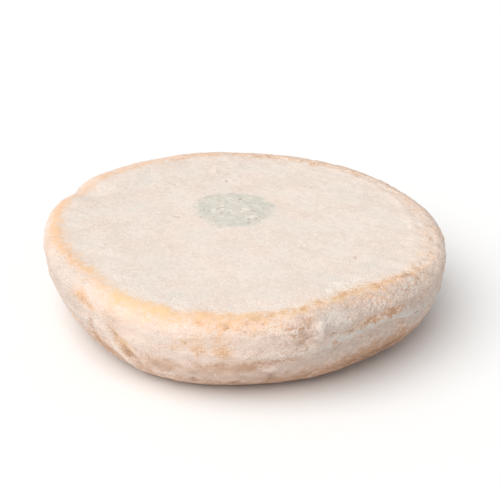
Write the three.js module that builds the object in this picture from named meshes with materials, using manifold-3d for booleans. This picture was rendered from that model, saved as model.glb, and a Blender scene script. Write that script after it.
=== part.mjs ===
// A whole soft washed-rind cheese lying flat: a low round wheel whose sides slope in to a smaller flat
// underside, with a round casein mark pressed into its top.
// Millimetres and degrees, +Z up. The origin is on the resting plane, under the middle of the wheel.
import * as THREE from "three";
import { ParametricGeometry } from "three/addons/geometries/ParametricGeometry.js";
import { mergeVertices } from "three/addons/utils/BufferGeometryUtils.js";
import Module from "manifold-3d";

// The wheel's driving dimensions. Radii are means: the lobes below make the outline uneven.
const RIM_RADIUS = 70;
const BASE_RADIUS = 52.2;
const HEIGHT = 30.4;
const WIDEST_HEIGHT = 26;
const SHOULDER_WIDTH = 8;
const SHOULDER_SWING = 2.2; // it is this much broader towards SHOULDER_BROAD_AT, and narrower opposite
const SHOULDER_BROAD_AT = 20;
const TOP_LEAN = { x: -0.014, y: -0.004 }; // rise of the top for each millimetre

// Lobes of an outline, as a ripe wheel sags and spreads: how many, how far they swing, and where one
// crest is.
const RIM_LOBES = [
  { count: 2, swing: 1.5, crest: -47 },
  { count: 3, swing: 0.5, crest: 13 },
  { count: 4, swing: 0.45, crest: -27 },
];
const BASE_LOBES = [
  { count: 1, swing: 2.2, crest: 8 },
  { count: 2, swing: 0.9, crest: -46 },
  { count: 3, swing: 2.9, crest: 3 },
];

// Soft undulation of the whole rind, as plane waves: a direction, a wavelength, a height and a phase in
// turns.
const WAVES = [
  { toward: [1, 0.35, 0.3], length: 47, height: 0.16, phase: 0.1 },
  { toward: [-0.4, 1, 0.5], length: 35, height: 0.14, phase: 0.42 },
  { toward: [0.7, -0.8, 1.2], length: 26, height: 0.12, phase: 0.77 },
  { toward: [0.9, 0.9, -1.6], length: 19, height: 0.09, phase: 0.25 },
];

// The seam that the draining cloth leaves round the side: a thin ridge between two shallow troughs.
const SEAM = {
  height: 18.5,
  rise: 5, // it climbs this much at riseAt
  riseAt: -54,
  riseHalfWidth: 14,
  drift: 0.6, // and it wavers this much, driftCount times round
  driftCount: 5,
  ridge: 0.45,
  ridgeHalfWidth: 1.1,
  trough: 0.5,
  troughOffset: 2.8,
  troughHalfWidth: 1.7,
  tightTimes: 3, // the cloth lay tight this many times round, first at riseAt
  faintest: 0.35, // where the cloth lay slack, the share of its relief that is left
};

// Folds of the cloth that cross the side. Each leans along a line from its foot to its head, given as an
// angle round the wheel and a height, and is a groove with a raised lip beside it.
const FOLDS = [
  { foot: [-118, 5], head: [-126, 20], depth: 1.1, halfWidth: 2.6, lip: 0.6, lipOffset: -5.5 },
  { foot: [-74.5, 21], head: [-73, 30], depth: 0.5, halfWidth: 2.2, lip: 0.4, lipOffset: 4.4 },
  { foot: [18, 6], head: [9, 22], depth: 0.7, halfWidth: 3, lip: 0.4, lipOffset: -5.5 },
  { foot: [96, 4], head: [104, 24], depth: 0.8, halfWidth: 3.2, lip: 0.45, lipOffset: 6 },
  { foot: [172, 8], head: [166, 23], depth: 0.7, halfWidth: 3, lip: 0.4, lipOffset: 5.5 },
];
const FOLD_FADE = 3; // a fold dies out over this height at each end
const LIP_NARROWNESS = 0.7; // a lip's half width as a share of its groove's
const CLEAR_HEIGHT = 4; // relief grows to its full height from the underside's edge up to here

// A pinch in the shoulder, and the ring that the press left near the edge of the top on one side.
const PINCH = { angle: 155.5, halfWidth: 6, depth: 1.9, fromHeight: 19, overTop: 8 };
const RING = { radius: 59.5, height: 0.4, halfWidth: 1.3, middle: 15, halfSpan: 48 };

// The casein mark, a thin disc let into the top, with the rind closing round it.
const MARK = {
  x: -3,
  y: 10.5,
  radius: 15,
  gap: 0.3,
  depth: 1.2, // of its pocket, below the height of the top
  proud: 0.15,
  edgeRound: 0.35,
  lobes: [
    { count: 2, swing: 0.35, crest: 5 },
    { count: 5, swing: 0.25, crest: 31 },
  ],
  dimple: 0.14,
  dimpleLength: 6.5,
  dimpleLean: 0.4,
};

// Resolution of the meshes: segments round the axis, and rings on each stretch of the section.
const WHEEL_SEGMENTS = 144;
const UNDERSIDE_RINGS = 2;
const FLANK_RINGS = 22;
const SHOULDER_RINGS = 7;
const TOP_RINGS = 9;
const MARK_SEGMENTS = 60;
const MARK_RINGS = 6;
const FLANK_CROWDING = 1.35; // 1 spreads the flank's rings evenly; more crowds them to the widest line
const CUT_MARGIN = 5; // the pocket's cutter stands this far above the top
const SAME_POINT = 1e-4; // points nearer than this are one point

const RIND_COLOUR = 0xe9d6c4;
const MARK_COLOUR = 0xd6d9cb;

const wasm = await Module();
wasm.setup();

const radians = THREE.MathUtils.degToRad;

// A smooth bump of height 1 that falls away over halfWidth on both sides of nought.
function bump(offset, halfWidth) {
  return Math.exp(-((offset / halfWidth) ** 2));
}

// An angle in degrees brought into -180 to 180.
function wrapped(degrees) {
  return THREE.MathUtils.euclideanModulo(degrees + 180, 360) - 180;
}

// How far an outline with these lobes stands out at an angle.
function lobed(angle, lobes) {
  return lobes.reduce((sum, l) => sum + l.swing * Math.cos(l.count * (angle - radians(l.crest))), 0);
}

// The radii of the section at an angle: the base, the widest line and the edge of the flat top.
function radiiAt(angle) {
  const rim = RIM_RADIUS + lobed(angle, RIM_LOBES);
  const base = BASE_RADIUS + lobed(angle, BASE_LOBES);
  const shoulder = SHOULDER_WIDTH + SHOULDER_SWING * Math.cos(angle - radians(SHOULDER_BROAD_AT));
  return { base, rim, top: rim - shoulder };
}

// Height of the leaning top before any relief.
function leaningTop(x, y) {
  return HEIGHT + TOP_LEAN.x * x + TOP_LEAN.y * y;
}

// The smooth section: where it is and which way it faces, for a latitude of -2 (middle of the underside),
// -1 (edge of the underside), 0 (widest line), 1 (edge of the flat top) and 2 (middle of the top). Flank
// and shoulder are quarter ellipses that meet upright at the widest line.
function sectionAt(angle, latitude) {
  const { base, rim, top } = radiiAt(angle);
  if (latitude < -1) return { r: base * (latitude + 2), z: 0, outward: 0, upward: -1 };
  if (latitude > 1) {
    const r = top * (2 - latitude);
    return { r, z: leaningTop(r * Math.cos(angle), r * Math.sin(angle)), outward: 0, upward: 1 };
  }
  const inner = latitude < 0 ? base : top;
  const edge = latitude < 0 ? 0 : leaningTop(top * Math.cos(angle), top * Math.sin(angle));
  const across = rim - inner;
  const along = edge - WIDEST_HEIGHT;
  const turn = (Math.abs(latitude) * Math.PI) / 2;
  const outward = Math.abs(along) * Math.cos(turn);
  const upward = Math.sign(along) * across * Math.sin(turn);
  const size = Math.hypot(outward, upward);
  return {
    r: inner + across * Math.cos(turn),
    z: WIDEST_HEIGHT + along * Math.sin(turn),
    outward: outward / size,
    upward: upward / size,
  };
}

// Height of the seam at an angle in degrees.
function seamHeight(degrees) {
  const drift = SEAM.drift * Math.sin(SEAM.driftCount * radians(degrees - SEAM.riseAt));
  return SEAM.height + drift + SEAM.rise * bump(wrapped(degrees - SEAM.riseAt), SEAM.riseHalfWidth);
}

// The seam's relief: a ridge, with a trough above and below it, that comes and goes with the cloth.
function seamRelief(degrees, z) {
  const off = z - seamHeight(degrees);
  const ridge = SEAM.ridge * bump(off, SEAM.ridgeHalfWidth);
  const above = bump(off - SEAM.troughOffset, SEAM.troughHalfWidth);
  const below = bump(off + SEAM.troughOffset, SEAM.troughHalfWidth);
  const tightness = (1 + Math.cos(SEAM.tightTimes * radians(degrees - SEAM.riseAt))) / 2;
  return THREE.MathUtils.lerp(SEAM.faintest, 1, tightness) * (ridge - SEAM.trough * (above + below));
}

// One fold's relief: distances along the rind are taken level, at the rim's mean radius.
function foldRelief(fold, degrees, z) {
  const share = (z - fold.foot[1]) / (fold.head[1] - fold.foot[1]);
  const middle = fold.foot[0] + wrapped(fold.head[0] - fold.foot[0]) * share;
  const off = radians(wrapped(degrees - middle)) * RIM_RADIUS;
  const begins = THREE.MathUtils.smoothstep(z, fold.foot[1] - FOLD_FADE, fold.foot[1] + FOLD_FADE);
  const ends = THREE.MathUtils.smoothstep(z, fold.head[1] - FOLD_FADE, fold.head[1] + FOLD_FADE);
  const lip = fold.lip * bump(off - fold.lipOffset, fold.halfWidth * LIP_NARROWNESS);
  return begins * (1 - ends) * (lip - fold.depth * bump(off, fold.halfWidth));
}

// The pinch in the shoulder, which runs from the side over on to the rim of the top.
function pinchRelief(degrees, z) {
  const reach = THREE.MathUtils.smoothstep(z, PINCH.fromHeight, WIDEST_HEIGHT);
  return -PINCH.depth * reach * bump(wrapped(degrees - PINCH.angle), PINCH.halfWidth);
}

// The ring near the edge of the top, strongest in the middle of its span.
function ringRelief(degrees, r) {
  const strength = bump(wrapped(degrees - RING.middle), RING.halfSpan);
  return RING.height * strength * bump(r - RING.radius, RING.halfWidth);
}

// Soft undulation at a point of the rind.
function undulation(x, y, z) {
  return WAVES.reduce((sum, wave) => {
    const [a, b, c] = wave.toward;
    const along = (a * x + b * y + c * z) / Math.hypot(a, b, c);
    return sum + wave.height * Math.sin(2 * Math.PI * (along / wave.length + wave.phase));
  }, 0);
}

// How far the rind stands out of the smooth section. The flat underside has no relief, so that the wheel
// rests on it.
function reliefAt(angle, latitude, r, z) {
  const degrees = THREE.MathUtils.radToDeg(angle);
  const soft = undulation(r * Math.cos(angle), r * Math.sin(angle), z);
  if (latitude > 1) {
    const nearEdge = THREE.MathUtils.smoothstep(r, RING.radius - PINCH.overTop, RING.radius);
    return soft + ringRelief(degrees, r) + nearEdge * pinchRelief(degrees, WIDEST_HEIGHT);
  }
  const clear = THREE.MathUtils.smoothstep(z, 0, CLEAR_HEIGHT);
  const folds = FOLDS.reduce((sum, fold) => sum + foldRelief(fold, degrees, z), 0);
  const onSide = soft + folds + seamRelief(degrees, z) + pinchRelief(degrees, z);
  return clear * onSide + ringRelief(degrees, r);
}

// The finished rind at an angle and a latitude.
function rindPoint(angle, latitude, target) {
  const s = sectionAt(angle, latitude);
  const relief = latitude > -1 ? reliefAt(angle, latitude, s.r, s.z) : 0;
  const r = s.r + s.outward * relief;
  target.set(r * Math.cos(angle), r * Math.sin(angle), s.z + s.upward * relief);
}

// Height of the finished top at a point inside its flat part.
function topAt(x, y) {
  return leaningTop(x, y) + undulation(x, y, leaningTop(x, y));
}

// count latitudes from just past one end up to the other, evenly spread.
function stretch(from, to, count) {
  return Array.from({ length: count }, (_, i) => from + ((to - from) * (i + 1)) / count);
}

// The rings of the wheel's mesh, from the middle of the underside up. The flank's rings crowd towards the
// widest line, where the seam and the folds are.
function wheelLatitudes() {
  const underside = stretch(-2, -1, UNDERSIDE_RINGS);
  const flank = stretch(-1, 0, FLANK_RINGS).map((v) => -((-v) ** FLANK_CROWDING));
  return [-2, ...underside, ...flank, ...stretch(0, 1, SHOULDER_RINGS), ...stretch(1, 2, TOP_RINGS)];
}

// A closed surface of rings round the Z axis. place(angle, row, target) sets each point, and the first
// and last rows are single points.
function ringedGeometry(segments, rows, place) {
  const surface = (u, v, target) => {
    const turns = Math.round(u * segments) % segments;
    place((turns / segments) * 2 * Math.PI, Math.round(v * (rows - 1)), target);
  };
  const geometry = new ParametricGeometry(surface, segments, rows - 1);
  geometry.deleteAttribute("normal");
  geometry.deleteAttribute("uv");
  return geometry;
}

// A closed geometry as a solid for cutting.
function solidOf(geometry) {
  const merged = mergeVertices(geometry, SAME_POINT);
  const vertProperties = merged.getAttribute("position").array;
  const triVerts = new Uint32Array(merged.index.array);
  return new wasm.Manifold(new wasm.Mesh({ numProp: 3, vertProperties, triVerts }));
}

// A cut solid as a geometry again.
function geometryOf(solid) {
  const mesh = solid.getMesh();
  const geometry = new THREE.BufferGeometry();
  geometry.setAttribute("position", new THREE.BufferAttribute(mesh.vertProperties, 3));
  geometry.setIndex(new THREE.BufferAttribute(mesh.triVerts, 1));
  geometry.computeVertexNormals();
  return geometry;
}

// Outline radius of the mark at an angle, or of its pocket with the gap added.
function markRadius(angle, gap = 0) {
  return MARK.radius + gap + lobed(angle, MARK.lobes);
}

// What cuts the mark's pocket: a prism of the mark's outline, standing on the pocket's flat floor.
function pocketCutter() {
  const outline = Array.from({ length: MARK_SEGMENTS }, (_, i) => {
    const angle = (i / MARK_SEGMENTS) * 2 * Math.PI;
    const r = markRadius(angle, MARK.gap);
    return new THREE.Vector2(r * Math.cos(angle), r * Math.sin(angle));
  });
  const extrusion = { depth: MARK.depth + CUT_MARGIN, bevelEnabled: false };
  const prism = new THREE.ExtrudeGeometry(new THREE.Shape(outline), extrusion);
  prism.translate(MARK.x, MARK.y, HEIGHT - MARK.depth);
  prism.deleteAttribute("normal");
  prism.deleteAttribute("uv");
  return prism;
}

// The wheel itself: rind and paste in one piece, with the mark's pocket cut into its top.
function makeCheese() {
  const latitudes = wheelLatitudes();
  const whole = ringedGeometry(WHEEL_SEGMENTS, latitudes.length, (angle, row, target) => {
    rindPoint(angle, latitudes[row], target);
  });
  const cut = solidOf(whole).subtract(solidOf(pocketCutter()));
  const material = new THREE.MeshStandardMaterial({ color: RIND_COLOUR, roughness: 0.85, metalness: 0 });
  const cheese = new THREE.Mesh(geometryOf(cut), material);
  cheese.name = "cheese";
  return cheese;
}

// Height of the mark's face: it follows the top, stands a little proud of it and is softly dimpled.
function markFace(x, y) {
  const phasePerMm = (2 * Math.PI) / MARK.dimpleLength;
  const dimples = Math.sin(phasePerMm * (x + MARK.dimpleLean * y)) * Math.cos(phasePerMm * y);
  return topAt(x, y) + MARK.proud + MARK.dimple * dimples;
}

// The casein mark: a flat foot on the pocket's floor, an upright edge, a rounded rim and the dimpled face.
function makeMark() {
  const floor = HEIGHT - MARK.depth;
  const foot = [{ share: 0 }, { share: 1 }];
  const roundedRim = [
    { share: 1, shoulder: true },
    { share: 1, onFace: true, inset: true },
  ];
  const face = stretch(1, 0, MARK_RINGS).map((share) => ({ share, onFace: true }));
  const rows = [...foot, ...roundedRim, ...face];
  const disc = ringedGeometry(MARK_SEGMENTS, rows.length, (angle, row, target) => {
    const { share, shoulder, onFace, inset } = rows[row];
    const r = share * markRadius(angle) - (inset ? MARK.edgeRound : 0);
    const x = MARK.x + r * Math.cos(angle);
    const y = MARK.y + r * Math.sin(angle);
    const z = onFace ? markFace(x, y) : floor;
    target.set(x, y, shoulder ? markFace(x, y) - MARK.edgeRound : z);
  });
  const material = new THREE.MeshStandardMaterial({ color: MARK_COLOUR, roughness: 0.7, metalness: 0 });
  const mark = new THREE.Mesh(disc, material);
  mark.name = "casein_mark";
  return mark;
}

// Moves the pieces together so that the origin is under the middle of the wheel's outline.
function centred(...meshes) {
  const group = new THREE.Group();
  group.add(...meshes);
  const box = new THREE.Box3().setFromObject(group, true);
  const middle = box.getCenter(new THREE.Vector3());
  meshes.forEach((mesh) => mesh.geometry.translate(-middle.x, -middle.y, -box.min.z));
  return group;
}

export default centred(makeCheese(), makeMark());
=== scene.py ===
"""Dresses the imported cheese: a bloomy washed rind over the wheel, and a casein mark let into its top.

The forms are worked out in millimetres and degrees, and put into the meshes in metres. Angles go round the
wheel from +X, anticlockwise from above, so that -90 faces the camera. Arrays are rings by columns.
"""

import logging
import math
from dataclasses import dataclass, field
from enum import Enum, IntEnum

import bpy
import numpy as np
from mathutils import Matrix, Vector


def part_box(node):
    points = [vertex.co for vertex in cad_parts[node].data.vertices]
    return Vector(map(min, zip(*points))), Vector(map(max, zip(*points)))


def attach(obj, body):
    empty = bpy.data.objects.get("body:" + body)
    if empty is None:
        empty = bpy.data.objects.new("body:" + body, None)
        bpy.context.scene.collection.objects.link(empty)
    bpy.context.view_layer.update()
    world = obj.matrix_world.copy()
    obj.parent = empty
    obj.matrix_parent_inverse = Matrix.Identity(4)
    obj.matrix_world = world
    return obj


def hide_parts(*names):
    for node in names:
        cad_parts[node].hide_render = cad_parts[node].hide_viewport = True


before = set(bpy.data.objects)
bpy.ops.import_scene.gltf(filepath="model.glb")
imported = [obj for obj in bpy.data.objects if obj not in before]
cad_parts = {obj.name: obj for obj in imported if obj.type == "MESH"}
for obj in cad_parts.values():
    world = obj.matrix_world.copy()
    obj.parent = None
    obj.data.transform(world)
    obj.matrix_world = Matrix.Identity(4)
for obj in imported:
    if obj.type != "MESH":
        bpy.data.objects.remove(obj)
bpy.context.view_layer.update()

MM = 0.001
log = logging.getLogger("cheese")

Array = np.ndarray
Row = tuple[float, ...]
Names = tuple[str, ...]
Paint = Row
Values = dict[str, Array]
Socket = bpy.types.NodeSocket
Sockets = dict[str, Socket]
Number = Socket | float
Tree = bpy.types.NodeTree


# Soft shapes that the forms are written in


def bump(offset: Array, half_width: float | Array) -> Array:
    """A soft hill from 0 to 1: e to the minus square of the offset over its half width."""
    return np.exp(-((offset / half_width) ** 2))


def ease(value: Array, low: float, high: float) -> Array:
    """A soft step, 0 up to low and 1 from high: three squares less two cubes of the share between."""
    share = np.clip((value - low) / (high - low), 0.0, 1.0)
    return share * share * (3.0 - 2.0 * share)


def wrapped(degrees: Array) -> Array:
    """Angles in degrees brought into -180 to 180."""
    return (degrees + 180.0) % 360.0 - 180.0


def linear(red: float, green: float, blue: float) -> Paint:
    """A colour of 0 to 255 as seen on a screen, as the linear colour and alpha that a shader takes."""
    seen = np.array([red, green, blue]) / 255.0
    return (*np.where(seen <= 0.04045, seen / 12.92, ((seen + 0.055) / 1.055) ** 2.4).tolist(), 1.0)


def turned(along: Array, across: Array, degrees: float) -> tuple[Array, Array]:
    """Two level distances as measured along and across a line that is turned by an angle."""
    cos, sin = math.cos(math.radians(degrees)), math.sin(math.radians(degrees))
    return along * cos + across * sin, across * cos - along * sin


def each(kind: type, *rows: Row) -> tuple:
    """One thing of a kind for each row of its measures, which are in the order of its fields."""
    return tuple(kind(*row) for row in rows)


@dataclass(frozen=True)
class Lobe:
    """One swing of an outline: how often it swings in a turn, how far, and the angle of a crest."""

    count: int
    swing: float
    crest: float


def lobed(degrees: Array, lobes: tuple[Lobe, ...]) -> Array:
    """How far an outline stands out: the sum of each lobe's swing times the cosine of its turns."""
    return sum(lobe.swing * np.cos(np.radians(lobe.count * (degrees - lobe.crest))) for lobe in lobes)


@dataclass(frozen=True)
class Grain:
    """Smooth noise: many plane sine waves in seeded directions, added up to a spread of 1.

    Attributes:
        length: the mean wavelength.
        seed: what fixes the directions and the phases.
        flatten: how many times shorter the waves are upwards than level, so that above 1 marks run level.
        waves: how many waves there are.
    """

    length: float
    seed: int
    flatten: float = 1.0
    waves: int = 30

    def at(self, points: Array) -> Array:
        """The noise at points: the sum of the sines of each wave's distance along its own way.

        Args:
            points: an array whose last axis is X, Y and Z.

        Returns:
            The noise, in the shape of the other axes.
        """
        rng = np.random.default_rng(self.seed)
        ways = rng.normal(size=(self.waves, 3))
        ways /= np.linalg.norm(ways, axis=1, keepdims=True)
        ways *= rng.uniform(0.7, 1.5, (self.waves, 1)) * 2.0 * np.pi / self.length
        ways[:, 2] *= self.flatten
        phases = rng.uniform(0.0, 2.0 * np.pi, self.waves)
        return np.sin(points @ ways.T + phases).sum(axis=-1) * math.sqrt(2.0 / self.waves)


# Noises by which the rind's colours wander, the first two of which the mark shares
NOISES = {
    "slow": Grain(19.0, 21, 1.3),
    "quick": Grain(5.5, 22, 1.5),
    "sway": Grain(6.0, 23),
    "sway_down": Grain(5.0, 24),
    "blotch": Grain(8.0, 25),
    "ragged": Grain(2.4, 26),
    "ragged_down": Grain(2.4, 27),
    "mottle": Grain(3.4, 28, 1.3),
    "streaks": Grain(3.2, 41, 1.8),
    "flecks": Grain(1.9, 42, 1.4),
}


@dataclass(frozen=True)
class Stations:
    """Values that change round the wheel: rows of an angle and its values, with straight runs between."""

    rows: tuple[Row, ...]

    def at(self, degrees: Array, column: int = 1) -> Array:
        """One column's value at some angles."""
        table = np.array(self.rows)
        return np.interp(degrees, table[:, 0], table[:, column], period=360.0)


class Column(IntEnum):
    """What a rim line's rows hold after the angle: its distance from the axis, half widths and washes."""

    REACH = 1
    INWARD = 2
    OUTWARD = 3
    PEACH = 4
    GOLD = 5
    BROWN = 6


@dataclass(frozen=True)
class RimLine(Stations):
    """A worn line that goes round the rim. Its rows hold what Column names."""

    def past(self, degrees: Array, reach: Array) -> Array:
        """How far out from the line's middle some places lie, measured as Skin.reach does."""
        return reach - self.at(degrees, Column.REACH)

    def hill(self, degrees: Array, reach: Array) -> Array:
        """How strong the line is: a soft hill across it, whose two sides fall at their own rates."""
        offset, inward = self.past(degrees, reach), self.at(degrees, Column.INWARD)
        return bump(offset, np.where(offset < 0.0, inward, self.at(degrees, Column.OUTWARD)))


# The wheel's form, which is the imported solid's with finer relief


@dataclass(frozen=True)
class Skin:
    """Points of the smooth wheel, each with what the relief and the colours depend on.

    Attributes:
        degrees: angles round the wheel.
        radius: distances from the axis.
        down: distances along the section outwards from the edge of the flat top, negative inside it.
        outward: level part of the way out of the surface.
        upward: upright part of the way out of the surface.
    """

    x: Array
    y: Array
    z: Array
    degrees: Array
    radius: Array
    down: Array
    outward: Array
    upward: Array

    def points(self) -> Array:
        """The points as one array whose last axis is X, Y and Z."""
        return np.stack([self.x, self.y, self.z], axis=-1)

    def reach(self, rim: Array, widest_height: float) -> Array:
        """Distance from the axis, carried on down the side from the widest line's radius and height."""
        return np.where(self.z < widest_height, rim + widest_height - self.z, self.radius)

    def along(self, degrees: float | Array) -> Array:
        """Millimetres round the wheel from an angle, taken level at the rim's mean radius."""
        return np.radians(wrapped(self.degrees - degrees)) * WheelForm.rim_radius


@dataclass(frozen=True)
class Fold:
    """A fold of the draining cloth across the side: a groove, and a lip some way round the wheel from it.

    Its foot and its head are each an angle and a height.
    """

    foot: tuple[float, float]
    head: tuple[float, float]
    depth: float
    half_width: float
    lip: float
    lip_offset: float
    fade: float = 3.0

    def line(self, skin: Skin, offset: float, half_width: float) -> Array:
        """A soft line from the fold's foot to its head that dies out at its ends.

        Args:
            skin: where it is wanted.
            offset: how far round the wheel it is shifted.
            half_width: of the line.

        Returns:
            Shares from 0 to 1.
        """
        (first, low), (last, high) = self.foot, self.head
        middle = first + wrapped(np.float64(last - first)) * (skin.z - low) / (high - low)
        inside = ease(skin.z, low - self.fade, low + self.fade)
        inside = inside * (1.0 - ease(skin.z, high - self.fade, high + self.fade))
        return inside * bump(skin.along(middle) - offset, half_width)

    def height(self, skin: Skin) -> Array:
        """How far the fold stands out: its lip, less its groove."""
        lip = self.lip * self.line(skin, self.lip_offset, self.half_width * 0.7)
        return lip - self.depth * self.line(skin, 0.0, self.half_width)


@dataclass(frozen=True)
class Wave:
    """A plane sine wave of the whole wheel: its way, length, height and phase in turns."""

    way: Row
    length: float
    tall: float
    phase: float

    def height(self, skin: Skin) -> Array:
        """How far the wave stands out: the sine of the distance along its way."""
        along = skin.points() @ (np.array(self.way) / np.linalg.norm(self.way))
        return self.tall * np.sin(2.0 * np.pi * (along / self.length + self.phase))


@dataclass(frozen=True)
class Ripples:
    """A field of small parallel wrinkles on the side.

    Attributes:
        drop: from the edge of the flat top to its middle.
        wide: half its width round the wheel.
        tall: half its height.
        length: from one wrinkle to the next.
        lean: how far the wrinkles climb from level.
    """

    angle: float
    drop: float
    wide: float
    tall: float
    length: float
    depth: float
    lean: float = 0.0

    def height(self, skin: Skin, bend: Array) -> Array:
        """How far the wrinkles stand out: a sine across the field, bent by noise, that fades at its edge.

        Args:
            skin: where they are wanted.
            bend: the noise.

        Returns:
            Heights.
        """
        along, up = skin.along(self.angle), self.drop - skin.down
        across = turned(along, up, self.lean)[1]
        window = np.exp(-((along / self.wide) ** 2) - (up / self.tall) ** 2)
        return self.depth * window * np.sin(2.0 * np.pi * across / self.length + 2.2 * bend)


@dataclass(frozen=True)
class Spot:
    """A small soft ellipse on the top: a nick, a crumb, a crack or a spot of a wash.

    Attributes:
        length: half its length.
        width: half its width.
        turn: the angle of its length from +X.
        amount: how far it rises, or falls if less than 0, or how much of the wash there is.
    """

    x: float
    y: float
    length: float
    width: float
    turn: float
    amount: float

    def at(self, x: Array, y: Array) -> Array:
        """How much of the ellipse there is at some places, from 0 to 1: a soft hill both ways."""
        along, across = turned(x - self.x, y - self.y, self.turn)
        return np.exp(-((along / self.length) ** 2) - (across / self.width) ** 2)


@dataclass(frozen=True)
class MarkOutline:
    """Where the casein mark lies, its outline, and the outline of the greenish tint that shows of it.

    Attributes:
        depth: of its pocket, below the height of the top.
        gap: between the mark and its pocket's wall.
        tint_fade: how far the tint takes to fade out, where the rind's bloom covers the mark.
        halo: how much blush there is in a ring round the mark.
    """

    x: float = -3.0
    y: float = 10.5
    radius: float = 15.0
    lobes: tuple[Lobe, ...] = each(Lobe, (2, 0.35, 5), (5, 0.25, 31))
    depth: float = 1.2
    gap: float = 0.12
    tint_x: float = -2.6
    tint_y: float = 10.1
    tint_radius: float = 14.0
    tint_lobes: tuple[Lobe, ...] = each(Lobe, (1, 0.3, 140), (3, 0.5, 138))
    tint_fade: float = 2.8
    halo: float = 0.08
    halo_offset: float = 2.5
    halo_half_width: float = 3.4

    def ring(self, degrees: Array, share: float = 1.0, inset: float = 0.0) -> tuple[Array, Array]:
        """The outline drawn in towards its middle: its radius times the share, less the inset.

        Args:
            degrees: angles round the mark.
            share: of the radius that is kept.
            inset: what is then taken off the radius.

        Returns:
            Places along X and Y.
        """
        radius = share * (self.radius + lobed(degrees, self.lobes)) - inset
        turn = np.radians(degrees)
        return self.x + radius * np.cos(turn), self.y + radius * np.sin(turn)

    def outside(self, x: Array, y: Array) -> Array:
        """How far places lie outside the outline: their distance from its middle, less its radius there."""
        degrees = np.degrees(np.arctan2(y - self.y, x - self.x))
        return np.hypot(x - self.x, y - self.y) - self.radius - lobed(degrees, self.lobes)

    def blush(self, x: Array, y: Array) -> Array:
        """The blush of the ring round the mark: a soft hill across it."""
        return self.halo * bump(self.outside(x, y) - self.halo_offset, self.halo_half_width)

    def casein(self, x: Array, y: Array) -> Array:
        """How much casein shows: it fades across the tint's outline, which wanders by noise.

        Args:
            x: places along X.
            y: places along Y.

        Returns:
            Shares from 0 to 1.
        """
        degrees = np.degrees(np.arctan2(y - self.tint_y, x - self.tint_x))
        places = np.stack([x, y, np.zeros_like(x)], axis=-1)
        wander = 0.45 * Grain(7.0, 53).at(places) + 0.4 * Grain(3.0, 54).at(places)
        outline = self.tint_radius + lobed(degrees, self.tint_lobes) + wander
        outside = np.hypot(x - self.tint_x, y - self.tint_y) - outline
        return np.clip(0.5 - outside / self.tint_fade, 0.0, 1.0)


@dataclass(frozen=True)
class WheelForm:
    """The wheel's section and outline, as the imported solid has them, before any relief."""

    rim_radius: float = 70.0
    base_radius: float = 52.2
    height: float = 30.4
    widest_height: float = 26.0
    shoulder_width: float = 8.0
    shoulder_swing: float = 2.2
    shoulder_broad_at: float = 20.0
    lean_x: float = -0.014
    lean_y: float = -0.004
    rim_lobes: tuple[Lobe, ...] = each(Lobe, (2, 1.5, -47), (3, 0.5, 13), (4, 0.45, -27))
    base_lobes: tuple[Lobe, ...] = each(Lobe, (1, 2.2, 8), (2, 0.9, -46), (3, 2.9, 3))

    def rim(self, degrees: Array) -> Array:
        """Radius of the widest line."""
        return self.rim_radius + lobed(degrees, self.rim_lobes)

    def base(self, degrees: Array) -> Array:
        """Radius of the flat underside."""
        return self.base_radius + lobed(degrees, self.base_lobes)

    def top_edge(self, degrees: Array) -> Array:
        """Radius of the edge of the flat top."""
        broad = np.cos(np.radians(degrees - self.shoulder_broad_at))
        return self.rim(degrees) - self.shoulder_width - self.shoulder_swing * broad

    def top(self, x: Array, y: Array) -> Array:
        """Height of the leaning top."""
        return self.height + self.lean_x * x + self.lean_y * y

    def side(self, degrees: Array, latitude: Array) -> Skin:
        """Flank and shoulder: quarter ellipses that meet upright at the widest line.

        Args:
            degrees: angles, as a row.
            latitude: -1 at the underside's edge, 0 at the widest line and 1 at the top's, as a column.

        Returns:
            The smooth side.
        """
        turn = np.radians(degrees)
        edge = self.top_edge(degrees)
        edge_height = self.top(edge * np.cos(turn), edge * np.sin(turn))
        inner = np.where(latitude < 0.0, self.base(degrees), edge)
        across = self.rim(degrees) - inner
        climb = np.where(latitude < 0.0, -self.widest_height, edge_height - self.widest_height)
        swept = np.abs(latitude) * np.pi / 2.0
        radius = inner + across * np.cos(swept)
        z = self.widest_height + climb * np.sin(swept)
        outward = np.abs(climb) * np.cos(swept)
        upward = np.sign(climb) * across * np.sin(swept)
        size = np.hypot(outward, upward)
        steps = np.hypot(np.diff(radius, axis=0), np.diff(z, axis=0))
        climbed = np.concatenate([np.zeros_like(steps[:1]), np.cumsum(steps, axis=0)])
        everywhere = np.broadcast_to(degrees, radius.shape)
        x, y = radius * np.cos(turn), radius * np.sin(turn)
        return Skin(x, y, z, everywhere, radius, climbed[-1:] - climbed, outward / size, upward / size)

    def level(self, x: Array, y: Array) -> Skin:
        """The flat top at some places, which faces straight up.

        Args:
            x: places along X.
            y: places along Y.

        Returns:
            The smooth top there.
        """
        degrees, radius = np.degrees(np.arctan2(y, x)), np.hypot(x, y)
        down = radius - self.top_edge(degrees)
        return Skin(x, y, self.top(x, y), degrees, radius, down, np.zeros_like(x), np.ones_like(x))


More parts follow.
